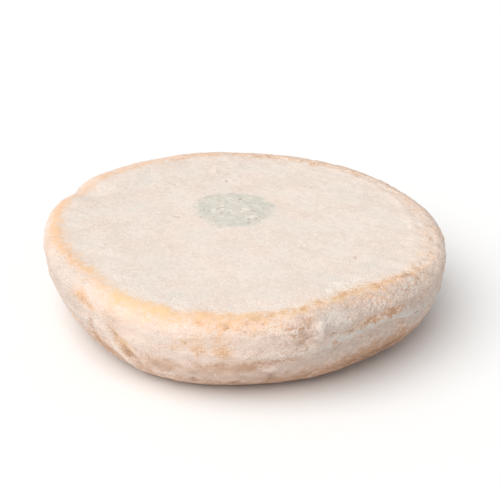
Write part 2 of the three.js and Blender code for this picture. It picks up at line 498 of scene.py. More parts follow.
@dataclass(frozen=True)
class Relief:
    """How the rind stands out of the smooth wheel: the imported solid's broad forms, and finer ones."""

    seam_height: float = 18.5
    seam_rise: float = 5.0
    seam_rise_at: float = -54.0
    seam_rise_half_width: float = 14.0
    seam_drift: float = 0.6
    seam_ridge: float = 0.45
    seam_trough: float = 0.5
    seam_trough_offset: float = 2.8
    seam_trough_half_width: float = 1.7
    seam_faintest: float = 0.35
    pinch_at: float = 155.5
    pinch_half_width: float = 6.0
    pinch_depth: float = 1.9
    pinch_foot: float = 19.0
    pinch_run: float = 8.0
    ring_radius: float = 59.5
    ring_height: float = 0.4
    ring_middle: float = 15.0
    ring_span: float = 48.0
    ring_half_width: float = 1.1
    folds: tuple[Fold, ...] = each(
        Fold,
        ((-118, 5), (-126, 20), 0.9, 3.0, 0.7, -3.8),
        ((-74.5, 21), (-73, 30), 0.5, 2.2, 0.4, 4.4),
        ((18, 6), (9, 22), 0.7, 3.0, 0.4, -5.5),
        ((96, 4), (104, 24), 0.8, 3.2, 0.45, 6.0),
        ((172, 8), (166, 23), 0.7, 3.0, 0.4, 5.5),
    )
    ripples: tuple[Ripples, ...] = each(
        Ripples,
        (-76.5, 9, 3.2, 3.4, 1.6, 0.16), (-51, 4.5, 12, 4.5, 2.1, 0.16, 36), (-85, 11, 8, 4, 3.1, 0.1, 20),
        (-60, 22, 16, 4, 2.7, 0.1, 8), (-112, 26, 9, 4, 3.4, 0.14, 62), (25, 14, 18, 7, 3.0, 0.12, -15),
        (120, 17, 20, 8, 2.8, 0.12, 12),
    )
    nicks: tuple[Spot, ...] = each(
        Spot,
        (-6, 36.9, 1.2, 0.4, 62, -0.5), (-4.2, 36.9, 0.9, 0.7, 90, 0.35),
        (-2.1, 38.2, 0.8, 0.4, 60, -0.4), (-23, 4.1, 1, 0.5, -30, -0.5), (-22.2, 5.4, 0.8, 0.5, 0, 0.3),
        (-21, 6.8, 0.7, 0.4, 60, -0.4), (-25.4, 32.7, 0.5, 0.4, 0, -0.4),
        (-34.3, 12.4, 0.5, 0.4, 40, -0.4), (27.1, 16.2, 0.9, 0.4, 65, -0.4),
        (42.9, -9.6, 0.5, 0.4, 0, -0.35), (37.7, -25.1, 2, 0.8, 50, -0.35),
        (-45.4, -18.4, 0.9, 0.5, 30, -0.35), (-10.4, 45, 2.2, 1, 88, 0.25),
        (20.7, -16, 2.6, 0.5, -62, 0.2),
    )
    lumps: tuple[tuple[float, Grain], ...] = (
        (0.07, Grain(9.0, 11)), (0.045, Grain(4.2, 12, 1.6)), (0.028, Grain(2.2, 13, 1.4))
    )
    waves: tuple[Wave, ...] = each(
        Wave,
        ((1.0, 0.35, 0.3), 47.0, 0.16, 0.1),
        ((-0.4, 1.0, 0.5), 35.0, 0.14, 0.42),
        ((0.7, -0.8, 1.2), 26.0, 0.12, 0.77),
        ((0.9, 0.9, -1.6), 19.0, 0.09, 0.25),
    )

    def undulation(self, skin: Skin) -> Array:
        """Soft undulation: the sum of the plane waves."""
        return sum(wave.height(skin) for wave in self.waves)

    def seam_line(self, turn: Array) -> Array:
        """Height of the seam by the turn from its one soft hill. It wavers five times round."""
        line = self.seam_height + self.seam_drift * np.sin(np.radians(5.0 * turn))
        return line + self.seam_rise * bump(turn, self.seam_rise_half_width)

    def seam_offset(self, skin: Skin) -> Array:
        """Height above the seam's line."""
        return skin.z - self.seam_line(wrapped(skin.degrees - self.seam_rise_at))

    def seam_strength(self, skin: Skin) -> Array:
        """How much of the seam there is: full three times round, where the cloth was tight."""
        tight = 0.5 + 0.5 * np.cos(np.radians(3.0 * (skin.degrees - self.seam_rise_at)))
        return self.seam_faintest + (1.0 - self.seam_faintest) * tight

    def seam(self, skin: Skin) -> Array:
        """The seam: a thin ridge between two shallow troughs, of soft hills.

        Args:
            skin: the smooth side.

        Returns:
            Heights.
        """
        off, away, width = self.seam_offset(skin), self.seam_trough_offset, self.seam_trough_half_width
        section = self.seam_ridge * bump(off, 1.0)
        section = section - self.seam_trough * (bump(off - away, width) + bump(off + away, width))
        return self.seam_strength(skin) * section

    def wrinkles(self, skin: Skin) -> Array:
        """The fields of small wrinkles, all bent by one noise."""
        bend = Grain(9.0, 41).at(skin.points())
        return sum(ripples.height(skin, bend) for ripples in self.ripples)

    def pinch(self, skin: Skin, reach: Array) -> Array:
        """The pinch in the shoulder, as far as it reaches."""
        hill = bump(wrapped(skin.degrees - self.pinch_at), self.pinch_half_width)
        return -self.pinch_depth * reach * hill

    def press_ring(self, skin: Skin) -> Array:
        """The ring that the press left near the edge of the top, strongest in the middle of its span."""
        span = bump(wrapped(skin.degrees - self.ring_middle), self.ring_span)
        return self.ring_height * span * bump(skin.radius - self.ring_radius, self.ring_half_width)

    def fine(self, skin: Skin) -> Array:
        """Lumps of three sizes, the two finer ones running level on the side."""
        return sum(tall * grain.at(skin.points()) for tall, grain in self.lumps)

    def on_side(self, skin: Skin, form: WheelForm) -> Array:
        """All relief of the side, which dies out at the underside.

        Args:
            skin: the smooth side.
            form: the wheel.

        Returns:
            Heights.
        """
        pinched = self.pinch(skin, ease(skin.z, self.pinch_foot, form.widest_height))
        folded = sum(fold.height(skin) for fold in self.folds)
        stood = self.undulation(skin) + folded + self.seam(skin) + pinched
        finer = self.wrinkles(skin) + self.fine(skin)
        return ease(skin.z, 0.0, 4.0) * (stood + finer) + self.press_ring(skin)

    def on_top(self, skin: Skin) -> Array:
        """All relief of the top, whose fine lumps grow towards its edge.

        Args:
            skin: the smooth top.

        Returns:
            Heights.
        """
        pinched = self.pinch(skin, ease(skin.radius, self.ring_radius - self.pinch_run, self.ring_radius))
        nicks = sum(nick.amount * nick.at(skin.x, skin.y) for nick in self.nicks)
        calm = 0.35 + 0.65 * ease(skin.down, -14.0, -2.0)
        return self.undulation(skin) + self.press_ring(skin) + pinched + calm * self.fine(skin) + nicks


# Meshes


def linked(name: str, data: bpy.types.ID) -> bpy.types.Object:
    """Makes an object of some data and links it into the scene.

    Args:
        name: of the object.
        data: its mesh, light or camera.

    Returns:
        The object.
    """
    made = bpy.data.objects.new(name, data)
    bpy.context.scene.collection.objects.link(made)
    return made


@dataclass(frozen=True)
class Fit:
    """A stretch along each axis, and a shift in millimetres that is then added."""

    stretch: Array
    shift: Array


@dataclass(frozen=True)
class Rings:
    """A closed surface of rings, from one pole to the other, with the values that its material reads.

    Attributes:
        points: rings by columns by X, Y and Z, in millimetres.
        values: named values, each rings by columns.
    """

    points: Array
    values: Values

    def fit_to(self, node: str) -> Fit:
        """What makes the surface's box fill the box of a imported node.

        Args:
            node: the node's name.

        Returns:
            The fit.
        """
        low, high = (np.array(corner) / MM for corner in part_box(node))
        own_low, own_high = self.points.min(axis=(0, 1)), self.points.max(axis=(0, 1))
        stretch = (high - low) / (own_high - own_low)
        return Fit(stretch, low - own_low * stretch)

    def fitted(self, fit: Fit) -> "Rings":
        """The surface, stretched and shifted by a fit."""
        return Rings(self.points * fit.stretch + fit.shift, self.values)

    def to_object(self, name: str, material: bpy.types.Material) -> bpy.types.Object:
        """A smooth-shaded object of the surface: quads between rings, and a fan of triangles to each pole.

        Args:
            name: of the object and its mesh.
            material: its material.

        Returns:
            The object, linked into the scene.
        """
        rows, columns = self.points.shape[:2]
        index = np.arange(rows * columns).reshape(rows, columns)
        beside = np.roll(index, -1, axis=1)
        quads = np.stack([index[:-1], beside[:-1], beside[1:], index[1:]], axis=-1).reshape(-1, 4)
        first, last = rows * columns, rows * columns + 1
        low_fan = np.stack([np.full(columns, first), beside[0], index[0]], axis=-1)
        high_fan = np.stack([index[-1], beside[-1], np.full(columns, last)], axis=-1)
        poles = np.stack([self.points[0].mean(axis=0), self.points[-1].mean(axis=0)])
        places = np.concatenate([self.points.reshape(-1, 3), poles]) * MM
        mesh = bpy.data.meshes.new(name)
        mesh.from_pydata(places.tolist(), [], [*quads.tolist(), *low_fan.tolist(), *high_fan.tolist()])
        for title, values in self.values.items():
            flat = np.concatenate([values.ravel(), [values[0].mean(), values[-1].mean()]])
            layer = mesh.attributes.new(title, "FLOAT", "POINT")
            layer.data.foreach_set("value", flat.astype(np.float32))
        mesh.shade_smooth()
        mesh.update()
        mesh.materials.append(material)
        return linked(name, mesh)


# Materials


class Graph:
    """Writes a shader node tree from the left to the right."""

    def __init__(self, tree: Tree) -> None:
        """Starts on a material's or a group's node tree."""
        self.tree = tree

    def node(self, kind: str, inputs: dict | None = None, **settings: object) -> bpy.types.Node:
        """Adds a node.

        Args:
            kind: its type's name.
            inputs: what goes into its sockets, by name or number: another node's socket or a plain value.
            settings: its own properties.

        Returns:
            The node.
        """
        made = self.tree.nodes.new(kind)
        made.location = (190.0 * (len(self.tree.nodes) % 9), -260.0 * (len(self.tree.nodes) // 9))
        for title, value in settings.items():
            setattr(made, title, value)
        for place, value in (inputs or {}).items():
            if isinstance(value, Socket):
                self.tree.links.new(value, made.inputs[place])
            else:
                made.inputs[place].default_value = value
        return made

    def group(self, tree: Tree, **inputs: object) -> Sockets:
        """Places a group with what goes into its inputs, and gives its outputs by name."""
        made = self.node("ShaderNodeGroup", inputs, node_tree=tree)
        return {socket.name: socket for socket in made.outputs}

    def closed(self, **outputs: Socket) -> Tree:
        """Ends a group with what goes to its outputs."""
        self.node("NodeGroupOutput", outputs)
        return self.tree

    def math(self, operation: str, *terms: Number, clamp: bool = False) -> Socket:
        """Arithmetic on sockets or numbers, kept within 0 to 1 if clamped."""
        made = self.node("ShaderNodeMath", dict(enumerate(terms)), operation=operation, use_clamp=clamp)
        return made.outputs[0]

    def times(self, value: Number, factor: Number, added: Number | None = None) -> Socket:
        """A value times a factor, with something added if it is given."""
        terms = (value, factor) if added is None else (value, factor, added)
        return self.math("MULTIPLY" if added is None else "MULTIPLY_ADD", *terms)

    def vector(self, operation: str, first: Socket, second: object) -> Socket:
        """Arithmetic on a vector and another vector, or its scaling by a number."""
        inputs = {0: first, "Scale" if operation == "SCALE" else 1: second}
        return self.node("ShaderNodeVectorMath", inputs, operation=operation).outputs[0]

    def step(self, value: Socket, low: Number, high: Number, to: Row = (0.0, 1.0)) -> Socket:
        """A soft step, which gives the first of two values below low and the second above high."""
        inputs = {"Value": value, "From Min": low, "From Max": high, "To Min": to[0], "To Max": to[1]}
        return self.node("ShaderNodeMapRange", inputs, interpolation_type="SMOOTHSTEP").outputs[0]

    def mix(self, share: Number, under: object, over: object) -> Socket:
        """One colour over another, as much as its share says."""
        return self.node("ShaderNodeMix", {0: share, 6: under, 7: over}, data_type="RGBA").outputs[2]

    def noise(self, vector: Socket, length: float, detail: float = 2.0, roughness: float = 0.5) -> Socket:
        """Noise from 0 to 1 whose largest marks have about a length in millimetres, with finer layers."""
        inputs = {"Vector": vector, "Scale": 1.0 / (length * MM), "Detail": detail, "Roughness": roughness}
        return self.node("ShaderNodeTexNoise", inputs).outputs["Fac"]

    def value_of(self, title: str) -> Socket:
        """A value that the mesh carries at its points."""
        return self.node("ShaderNodeAttribute", attribute_name=title).outputs["Fac"]


def new_group(name: str, inputs: dict[str, float | None], outputs: Names) -> tuple[Graph, Sockets]:
    """Starts a shader node group.

    Args:
        name: its name.
        inputs: each input's name and its value at first, or None for a vector.
        outputs: the names of its outputs, which are numbers, or a colour where it is called Color.

    Returns:
        The group's graph and its input sockets by name.
    """
    tree = bpy.data.node_groups.new(name, "ShaderNodeTree")
    for title, value in inputs.items():
        kind = "NodeSocketVector" if value is None else "NodeSocketFloat"
        socket = tree.interface.new_socket(title, in_out="INPUT", socket_type=kind)
        if value is not None:
            socket.default_value = value
    for title in outputs:
        kind = "NodeSocketColor" if title == "Color" else "NodeSocketFloat"
        tree.interface.new_socket(title, in_out="OUTPUT", socket_type=kind)
    graph = Graph(tree)
    entry = graph.node("NodeGroupInput")
    return graph, {title: entry.outputs[title] for title in inputs}


def grains_group() -> Tree:
    """Builds the group of shared noises: slow mottling, coarse and fine grains, and a pebbly height.

    Returns:
        The group.
    """
    graph, given = new_group("grains", {"Vector": None}, ("Slow", "Coarse", "Fine", "Both", "Height"))
    place = given["Vector"]
    level = graph.vector("MULTIPLY", place, (1.0, 1.0, 1.5))
    slow = graph.noise(place, 11.0, 3.0)
    coarse = graph.noise(level, 3.2, 3.0, 0.6)
    fine = graph.noise(level, 0.8, 2.0, 0.6)
    both = graph.times(fine, 0.74, graph.times(coarse, 0.32, -0.03))
    cells = {"Vector": level, "Scale": 1.0 / (1.2 * MM)}
    pebbles = graph.node("ShaderNodeTexVoronoi", cells, feature="SMOOTH_F1").outputs["Distance"]
    height = graph.times(coarse, 0.8, graph.times(pebbles, -0.35, fine))
    return graph.closed(Slow=slow, Coarse=coarse, Fine=fine, Both=both, Height=height)


def wash_group() -> Tree:
    """Builds the group that makes a speckled mask of a smooth amount: it and grains, softly stepped.

    The grains come in with the first fifth of the amount, so that none lie where there is none of the wash.

    Returns:
        The group.
    """
    inputs = {"Amount": 0.5, "Grain": 0.5, "Speckle": 1.6, "Low": 0.12, "High": 0.95}
    graph, given = new_group("wash", inputs, ("Mask",))
    spread = graph.times(graph.math("SUBTRACT", given["Grain"], 0.5), given["Speckle"])
    entering = graph.math("MULTIPLY", given["Amount"], 5.0, clamp=True)
    worn = graph.times(spread, entering, given["Amount"])
    return graph.closed(Mask=graph.step(worn, given["Low"], given["High"]))


def cloth_print_group() -> Tree:
    """Builds the group for the print of the cloth: two crossed sets of threads, one pressed harder.

    The pores are the gaps between threads, where both sets are low.

    Returns:
        The group.
    """
    inputs = {"Vector": None, "Pitch": 1.0, "Turn": 0.0, "Wander": 0.6}
    graph, given = new_group("cloth_print", inputs, ("Height", "Pores"))
    place = given["Vector"]
    drift = graph.node("ShaderNodeTexNoise", {"Vector": place, "Scale": 70.0, "Detail": 2.0})
    centred = graph.vector("SUBTRACT", drift.outputs["Color"], (0.5, 0.5, 0.5))
    shift = graph.vector("SCALE", centred, graph.times(given["Wander"], 6.0 * MM))
    swing = {"Vector": graph.vector("ADD", place, shift), "Angle": given["Turn"]}
    swung = graph.node("ShaderNodeVectorRotate", swing, rotation_type="Z_AXIS")
    across = graph.node("ShaderNodeSeparateXYZ", {0: swung.outputs[0]})
    turns = graph.math("DIVIDE", 2.0 * math.pi / MM, given["Pitch"])
    warp, weft = (graph.math("SINE", graph.times(across.outputs[axis], turns)) for axis in ("X", "Y"))
    pressed = graph.step(graph.noise(place, 13.0, 2.0), 0.35, 0.65, (0.2, 1.0))
    height = graph.times(graph.times(weft, 0.35, graph.times(warp, 0.65)), pressed)
    pores = graph.step(graph.times(weft, -0.5, graph.times(warp, -0.5)), 0.45, 0.95)
    return graph.closed(Height=height, Pores=graph.times(pores, pressed))


@dataclass(frozen=True)
class Speckles:
    """How grains eat into a wash, and the amounts at which it starts to show and is full."""

    speckle: float
    low: float
    high: float

    def mask(self, graph: Graph, wash: Tree, amount: Socket, grain: Socket) -> Socket:
        """The speckled mask of an amount, by the group that makes it and the grains that eat into it."""
        limits = {"Speckle": self.speckle, "Low": self.low, "High": self.high}
        return graph.group(wash, Amount=amount, Grain=grain, **limits)["Mask"]


@dataclass(frozen=True)
class FaceColours:
    """Colours of the flat face, which rind and mark share where they meet, and the print of the cloth."""

    cream: Paint = linear(228, 213, 202)
    pale_cream: Paint = linear(234, 221, 210)
    blush: Paint = linear(236, 213, 198)
    chill: Paint = linear(220, 213, 205)
    dust: Paint = linear(243, 232, 222)
    pore: Paint = linear(196, 176, 158)
    green: Paint = linear(206, 202, 191)
    pale_green: Paint = linear(217, 210, 199)
    thread_pitch: float = 1.05
    thread_turn: float = math.radians(25.0)


def face_values(points: Array) -> Values:
    """How much blush, chill and pores the flat face has, by slow and quick noise. Rind and mark share them.

    Args:
        points: places, whose last axis is X, Y and Z.

    Returns:
        The named values.
    """
    slow, quick = NOISES["slow"].at(points), NOISES["quick"].at(points)
    outer = 0.3 * ease(np.abs(points[..., 0] - 2.0), 14.0, 34.0) + 0.4 * ease(points[..., 1], 0.0, 45.0)
    pores = np.clip(0.25 + outer + 0.26 * quick + 0.18 * slow, 0.05, 1.0)
    return {"blush": 0.12 + 0.08 * slow, "chill": 0.1 - 0.08 * slow, "pores": pores}


def face_group(grains: Tree, wash: Tree, cloth: Tree) -> Tree:
    """Builds the group for the flat face: mottled cream with its washes, dust, pores and greenish casein.

    Args:
        grains: the group of noises.
        wash: the group of speckled masks.
        cloth: the group of the cloth's print.

    Returns:
        The group, whose colour goes to the base colour and whose height to the bump.
    """
    paint = FaceColours()
    inputs = {"Vector": None, "Casein": 0.0, "Blush": 0.0, "Chill": 0.0, "Pores": 0.5}
    graph, given = new_group("face", inputs, ("Height", "Color"))
    place = given["Vector"]
    noises = graph.group(grains, Vector=place)
    prints = graph.group(cloth, Vector=place, Pitch=paint.thread_pitch, Turn=paint.thread_turn)
    curdled = graph.times(noises["Slow"], 0.45, graph.times(graph.noise(place, 1.7, 1.0), 0.55))
    colour = graph.mix(graph.step(curdled, 0.42, 0.58), paint.cream, paint.pale_cream)
    for amount, grain, over in (("Blush", "Both", paint.blush), ("Chill", "Slow", paint.chill)):
        mask = Speckles(1.6, 0.05, 1.0).mask(graph, wash, given[amount], noises[grain])
        colour = graph.mix(mask, colour, over)
    dusted = graph.mix(graph.step(noises["Fine"], 0.54, 0.68, (0.0, 0.5)), colour, paint.dust)
    holes = graph.step(graph.noise(place, 0.9, 2.0, 0.6), 0.30, 0.40, (1.0, 0.0))
    gaps = graph.times(prints["Pores"], graph.step(noises["Coarse"], 0.4, 0.6, (0.2, 1.0)))
    open_pores = graph.times(graph.math("MAXIMUM", gaps, holes), given["Pores"])
    pored = graph.mix(graph.times(open_pores, 0.5), dusted, paint.pore)
    green = graph.mix(graph.step(noises["Coarse"], 0.4, 0.6), paint.green, paint.pale_green)
    casein = Speckles(1.9, 0.2, 0.8).mask(graph, wash, given["Casein"], noises["Both"])
    pressed = graph.times(graph.times(casein, -0.09, 0.19), given["Pores"])
    sunk = graph.times(open_pores, -0.12, graph.times(prints["Height"], pressed))
    height = graph.times(noises["Height"], 0.34, sunk)
    return graph.closed(Height=height, Color=graph.mix(casein, pored, green))


class Powders:
    """The shader groups that more than one finish uses, each built once."""

    def __init__(self) -> None:
        """Builds the groups."""
        self.grains, self.wash = grains_group(), wash_group()
        self.face = face_group(self.grains, self.wash, cloth_print_group())


class Wash(Enum):
    """A colour that lies in places on the rind, by the name of the value that the mesh carries for it."""

    # The cool and the mauve wash are partly painted shade too: they darken and cool the right of the side,
    # where less light falls.
    COOL = "cool"
    MAUVE = "mauve"
    PEACH = "peach"
    GOLD = "gold"
    BROWN = "brown"
    UMBER = "umber"
    WHITE = "white"


@dataclass(frozen=True)
class Finish:
    """A matt finish of the rind or the mark: a bump and a slight gloss under what paints it."""

    name: str = ""
    bump_strength: float = 0.8
    bump_depth: float = 0.5
    gloss: float = 0.25
    roughness: tuple[float, float] = (0.72, 0.88)

    def painted(self, graph: Graph, wash: Tree, noises: Sockets, flat: Sockets) -> tuple[Socket, Socket]:
        """The colour and the height of the surface: the flat face's, if nothing lies over it."""
        return flat["Color"], flat["Height"]

    def material(self, powders: Powders) -> bpy.types.Material:
        """Builds the material.

        Args:
            powders: the shared shader groups.

        Returns:
            The material.
        """
        made = bpy.data.materials.new(self.name)
        made.use_nodes = True
        made.node_tree.nodes.clear()
        graph = Graph(made.node_tree)
        place = graph.node("ShaderNodeTexCoord").outputs["Object"]
        noises = graph.group(powders.grains, Vector=place)
        titles = ("casein", "blush", "chill", "pores")
        values = {title.capitalize(): graph.value_of(title) for title in titles}
        flat = graph.group(powders.face, Vector=place, **values)
        colour, height = self.painted(graph, powders.wash, noises, flat)
        bumps = {"Strength": self.bump_strength, "Distance": self.bump_depth * MM, "Height": height}
        inputs = {
            "Base Color": colour,
            "Roughness": graph.step(noises["Both"], 0.35, 0.65, self.roughness),
            "Specular IOR Level": self.gloss,
            "Normal": graph.node("ShaderNodeBump", bumps).outputs[0],
        }
        shader = graph.node("ShaderNodeBsdfPrincipled", inputs)
        graph.node("ShaderNodeOutputMaterial", {"Surface": shader.outputs[0]})
        return made


@dataclass(frozen=True)
class WashColour:
    """How one wash lies on the rind: its colour, its speckles and its cover where it is full.

    A speckle of less than 0 keeps to the grains' other side.
    """

    wash: Wash
    colour: Paint
    speckles: Speckles
    cover: float


@dataclass(frozen=True)
class RindFinish(Finish):
    """The washed rind and the bloom on it, from the skin upwards."""

    name: str = "washed_rind"
    skin: Paint = linear(240, 216, 201)
    pale_skin: Paint = linear(243, 222, 208)
    cool_white: Paint = linear(214, 205, 198)
    fresh_white: Paint = linear(249, 238, 228)
    washes: tuple[WashColour, ...] = each(
        WashColour,
        # The mauve and the cool colours are partly painted shade on the right of the side.
        (Wash.MAUVE, linear(200, 174, 159), Speckles(1.4, 0.0, 1.0), 0.95),
        (Wash.COOL, linear(206, 199, 192), Speckles(2.0, 0.0, 1.0), 0.9),
        (Wash.PEACH, linear(238, 194, 156), Speckles(1.8, 0.06, 0.95), 0.9),
        (Wash.GOLD, linear(238, 205, 160), Speckles(1.5, 0.06, 0.95), 0.9),
        # The brown and the umber also paint shade at the foot, besides the rind's own brown.
        (Wash.BROWN, linear(193, 154, 126), Speckles(1.35, 0.06, 0.8), 0.9),
        (Wash.UMBER, linear(140, 106, 82), Speckles(1.8, 0.1, 0.85), 0.9),
        (Wash.WHITE, linear(243, 224, 211), Speckles(-1.8, 0.15, 0.9), 0.85),
    )

    def painted(self, graph: Graph, wash: Tree, noises: Sockets, flat: Sockets) -> tuple[Socket, Socket]:
        """Mottled skin or the flat face, then each wash over it.

        The white wash is bluer where the cool wash lies, which on the right of the side is partly painted
        shade, and fresher on the flat face.

        Args:
            graph: the material's graph.
            wash: the group of speckled masks.
            noises: the shared noises.
            flat: the flat face's colour and height.

        Returns:
            The colour and the height.
        """
        pebbly, cool = graph.value_of("pebbly"), graph.value_of(Wash.COOL.value)
        grain = graph.math("ADD", graph.times(graph.math("SUBTRACT", noises["Both"], 0.5), pebbly), 0.5)
        face = Speckles(1.2, 0.2, 0.8).mask(graph, wash, graph.value_of("face"), noises["Both"])
        side = graph.mix(graph.step(noises["Coarse"], 0.35, 0.65), self.skin, self.pale_skin)
        colour = graph.mix(face, side, flat["Color"])
        for layer in self.washes:
            amount = cool if layer.wash is Wash.COOL else graph.value_of(layer.wash.value)
            mask = layer.speckles.mask(graph, wash, amount, grain)
            paint = layer.colour
            if layer.wash is Wash.WHITE:
                paint = graph.mix(face, graph.mix(cool, layer.colour, self.cool_white), self.fresh_white)
            colour = graph.mix(graph.times(mask, layer.cover), colour, paint)
        smooth = graph.times(face, graph.value_of("smooth"))
        heights = {0: smooth, 2: graph.times(noises["Height"], pebbly), 3: flat["Height"]}
        return colour, graph.node("ShaderNodeMix", heights, data_type="FLOAT").outputs[0]


@dataclass(frozen=True)
class CaseinFinish(Finish):
    """The casein mark: the face that it shares with the rind, with pale crumbs and short cracks."""

    name: str = "casein"
    crumb: Paint = linear(249, 239, 228)
    crumb_cover: float = 0.66
    crack: Paint = linear(172, 154, 144)
    crack_cover: float = 0.72

    def painted(self, graph: Graph, wash: Tree, noises: Sockets, flat: Sockets) -> tuple[Socket, Socket]:
        """The flat face with crumbs and cracks over it.

        Args:
            graph: the material's graph.
            wash: the group of speckled masks.
            noises: the shared noises.
            flat: the flat face's colour and height.

        Returns:
            The colour and the height.
        """
        crumbs = Speckles(1.8, 0.2, 0.9).mask(graph, wash, graph.value_of("crumb"), noises["Fine"])
        crumbed = graph.mix(graph.times(crumbs, self.crumb_cover), flat["Color"], self.crumb)
        cracks = graph.step(graph.value_of("crack"), 0.15, 0.95, (0.0, self.crack_cover))
        return graph.mix(cracks, crumbed, self.crack), flat["Height"]


# Where the washes lie


@dataclass(frozen=True)
class Patch:
    """An uneven spot of a wash on the side.

    Attributes:
        drop: from the edge of the flat top to its middle.
        wide: half its width round the wheel.
        tall: half its height.
        amount: how much of the wash there is in its middle; less than 0 takes some away.
        lean: how far it is turned, anticlockwise as seen from outside.
        relief: how far it stands out.
    """

    angle: float
    drop: float
    wide: float
    tall: float
    amount: float
    lean: float = 0.0
    relief: float = 0.0

    def at(self, along: Array, down: Array) -> Array:
        """How much of the patch there is, from 0 to 1: an ellipse with a soft edge, turned by its lean.

        It takes millimetres round the wheel from its middle, and down the side from the flat top's edge.
        """
        across, upward = turned(along, self.drop - down, self.lean)
        return np.exp(-(((across / self.wide) ** 2 + (upward / self.tall) ** 2) ** 1.5))


@dataclass(frozen=True)
class Scatter:
    """Patches strewn over the back of the side by a seeded generator: brown and white ones, and some peach.

    Attributes:
        spans: from which to which an angle, drop, half width, half height, amount and lean may be.
        relief: how far the white ones stand out.
    """

    seed: int = 71
    count: int = 44
    washes: tuple[Wash, ...] = (Wash.BROWN, Wash.WHITE, Wash.BROWN, Wash.PEACH)
    spans: tuple[Row, ...] = (
        (-14.0, 212.0), (6.0, 30.0), (1.2, 4.5), (0.8, 1.8), (0.25, 0.5), (-30.0, 30.0)
    )
    relief: float = 0.12

    def patches(self) -> list[tuple[Wash, tuple[Patch, ...]]]:
        """Draws the patches, each with its wash, in turn.

        Returns:
            Each wash with a patch of it.
        """
        rng = np.random.default_rng(self.seed)
        made = []
        for number in range(self.count):
            wash = self.washes[number % len(self.washes)]
            measures = [rng.uniform(*span) for span in self.spans]
            made.append((wash, (Patch(*measures, self.relief if wash is Wash.WHITE else 0.0),)))
        return made


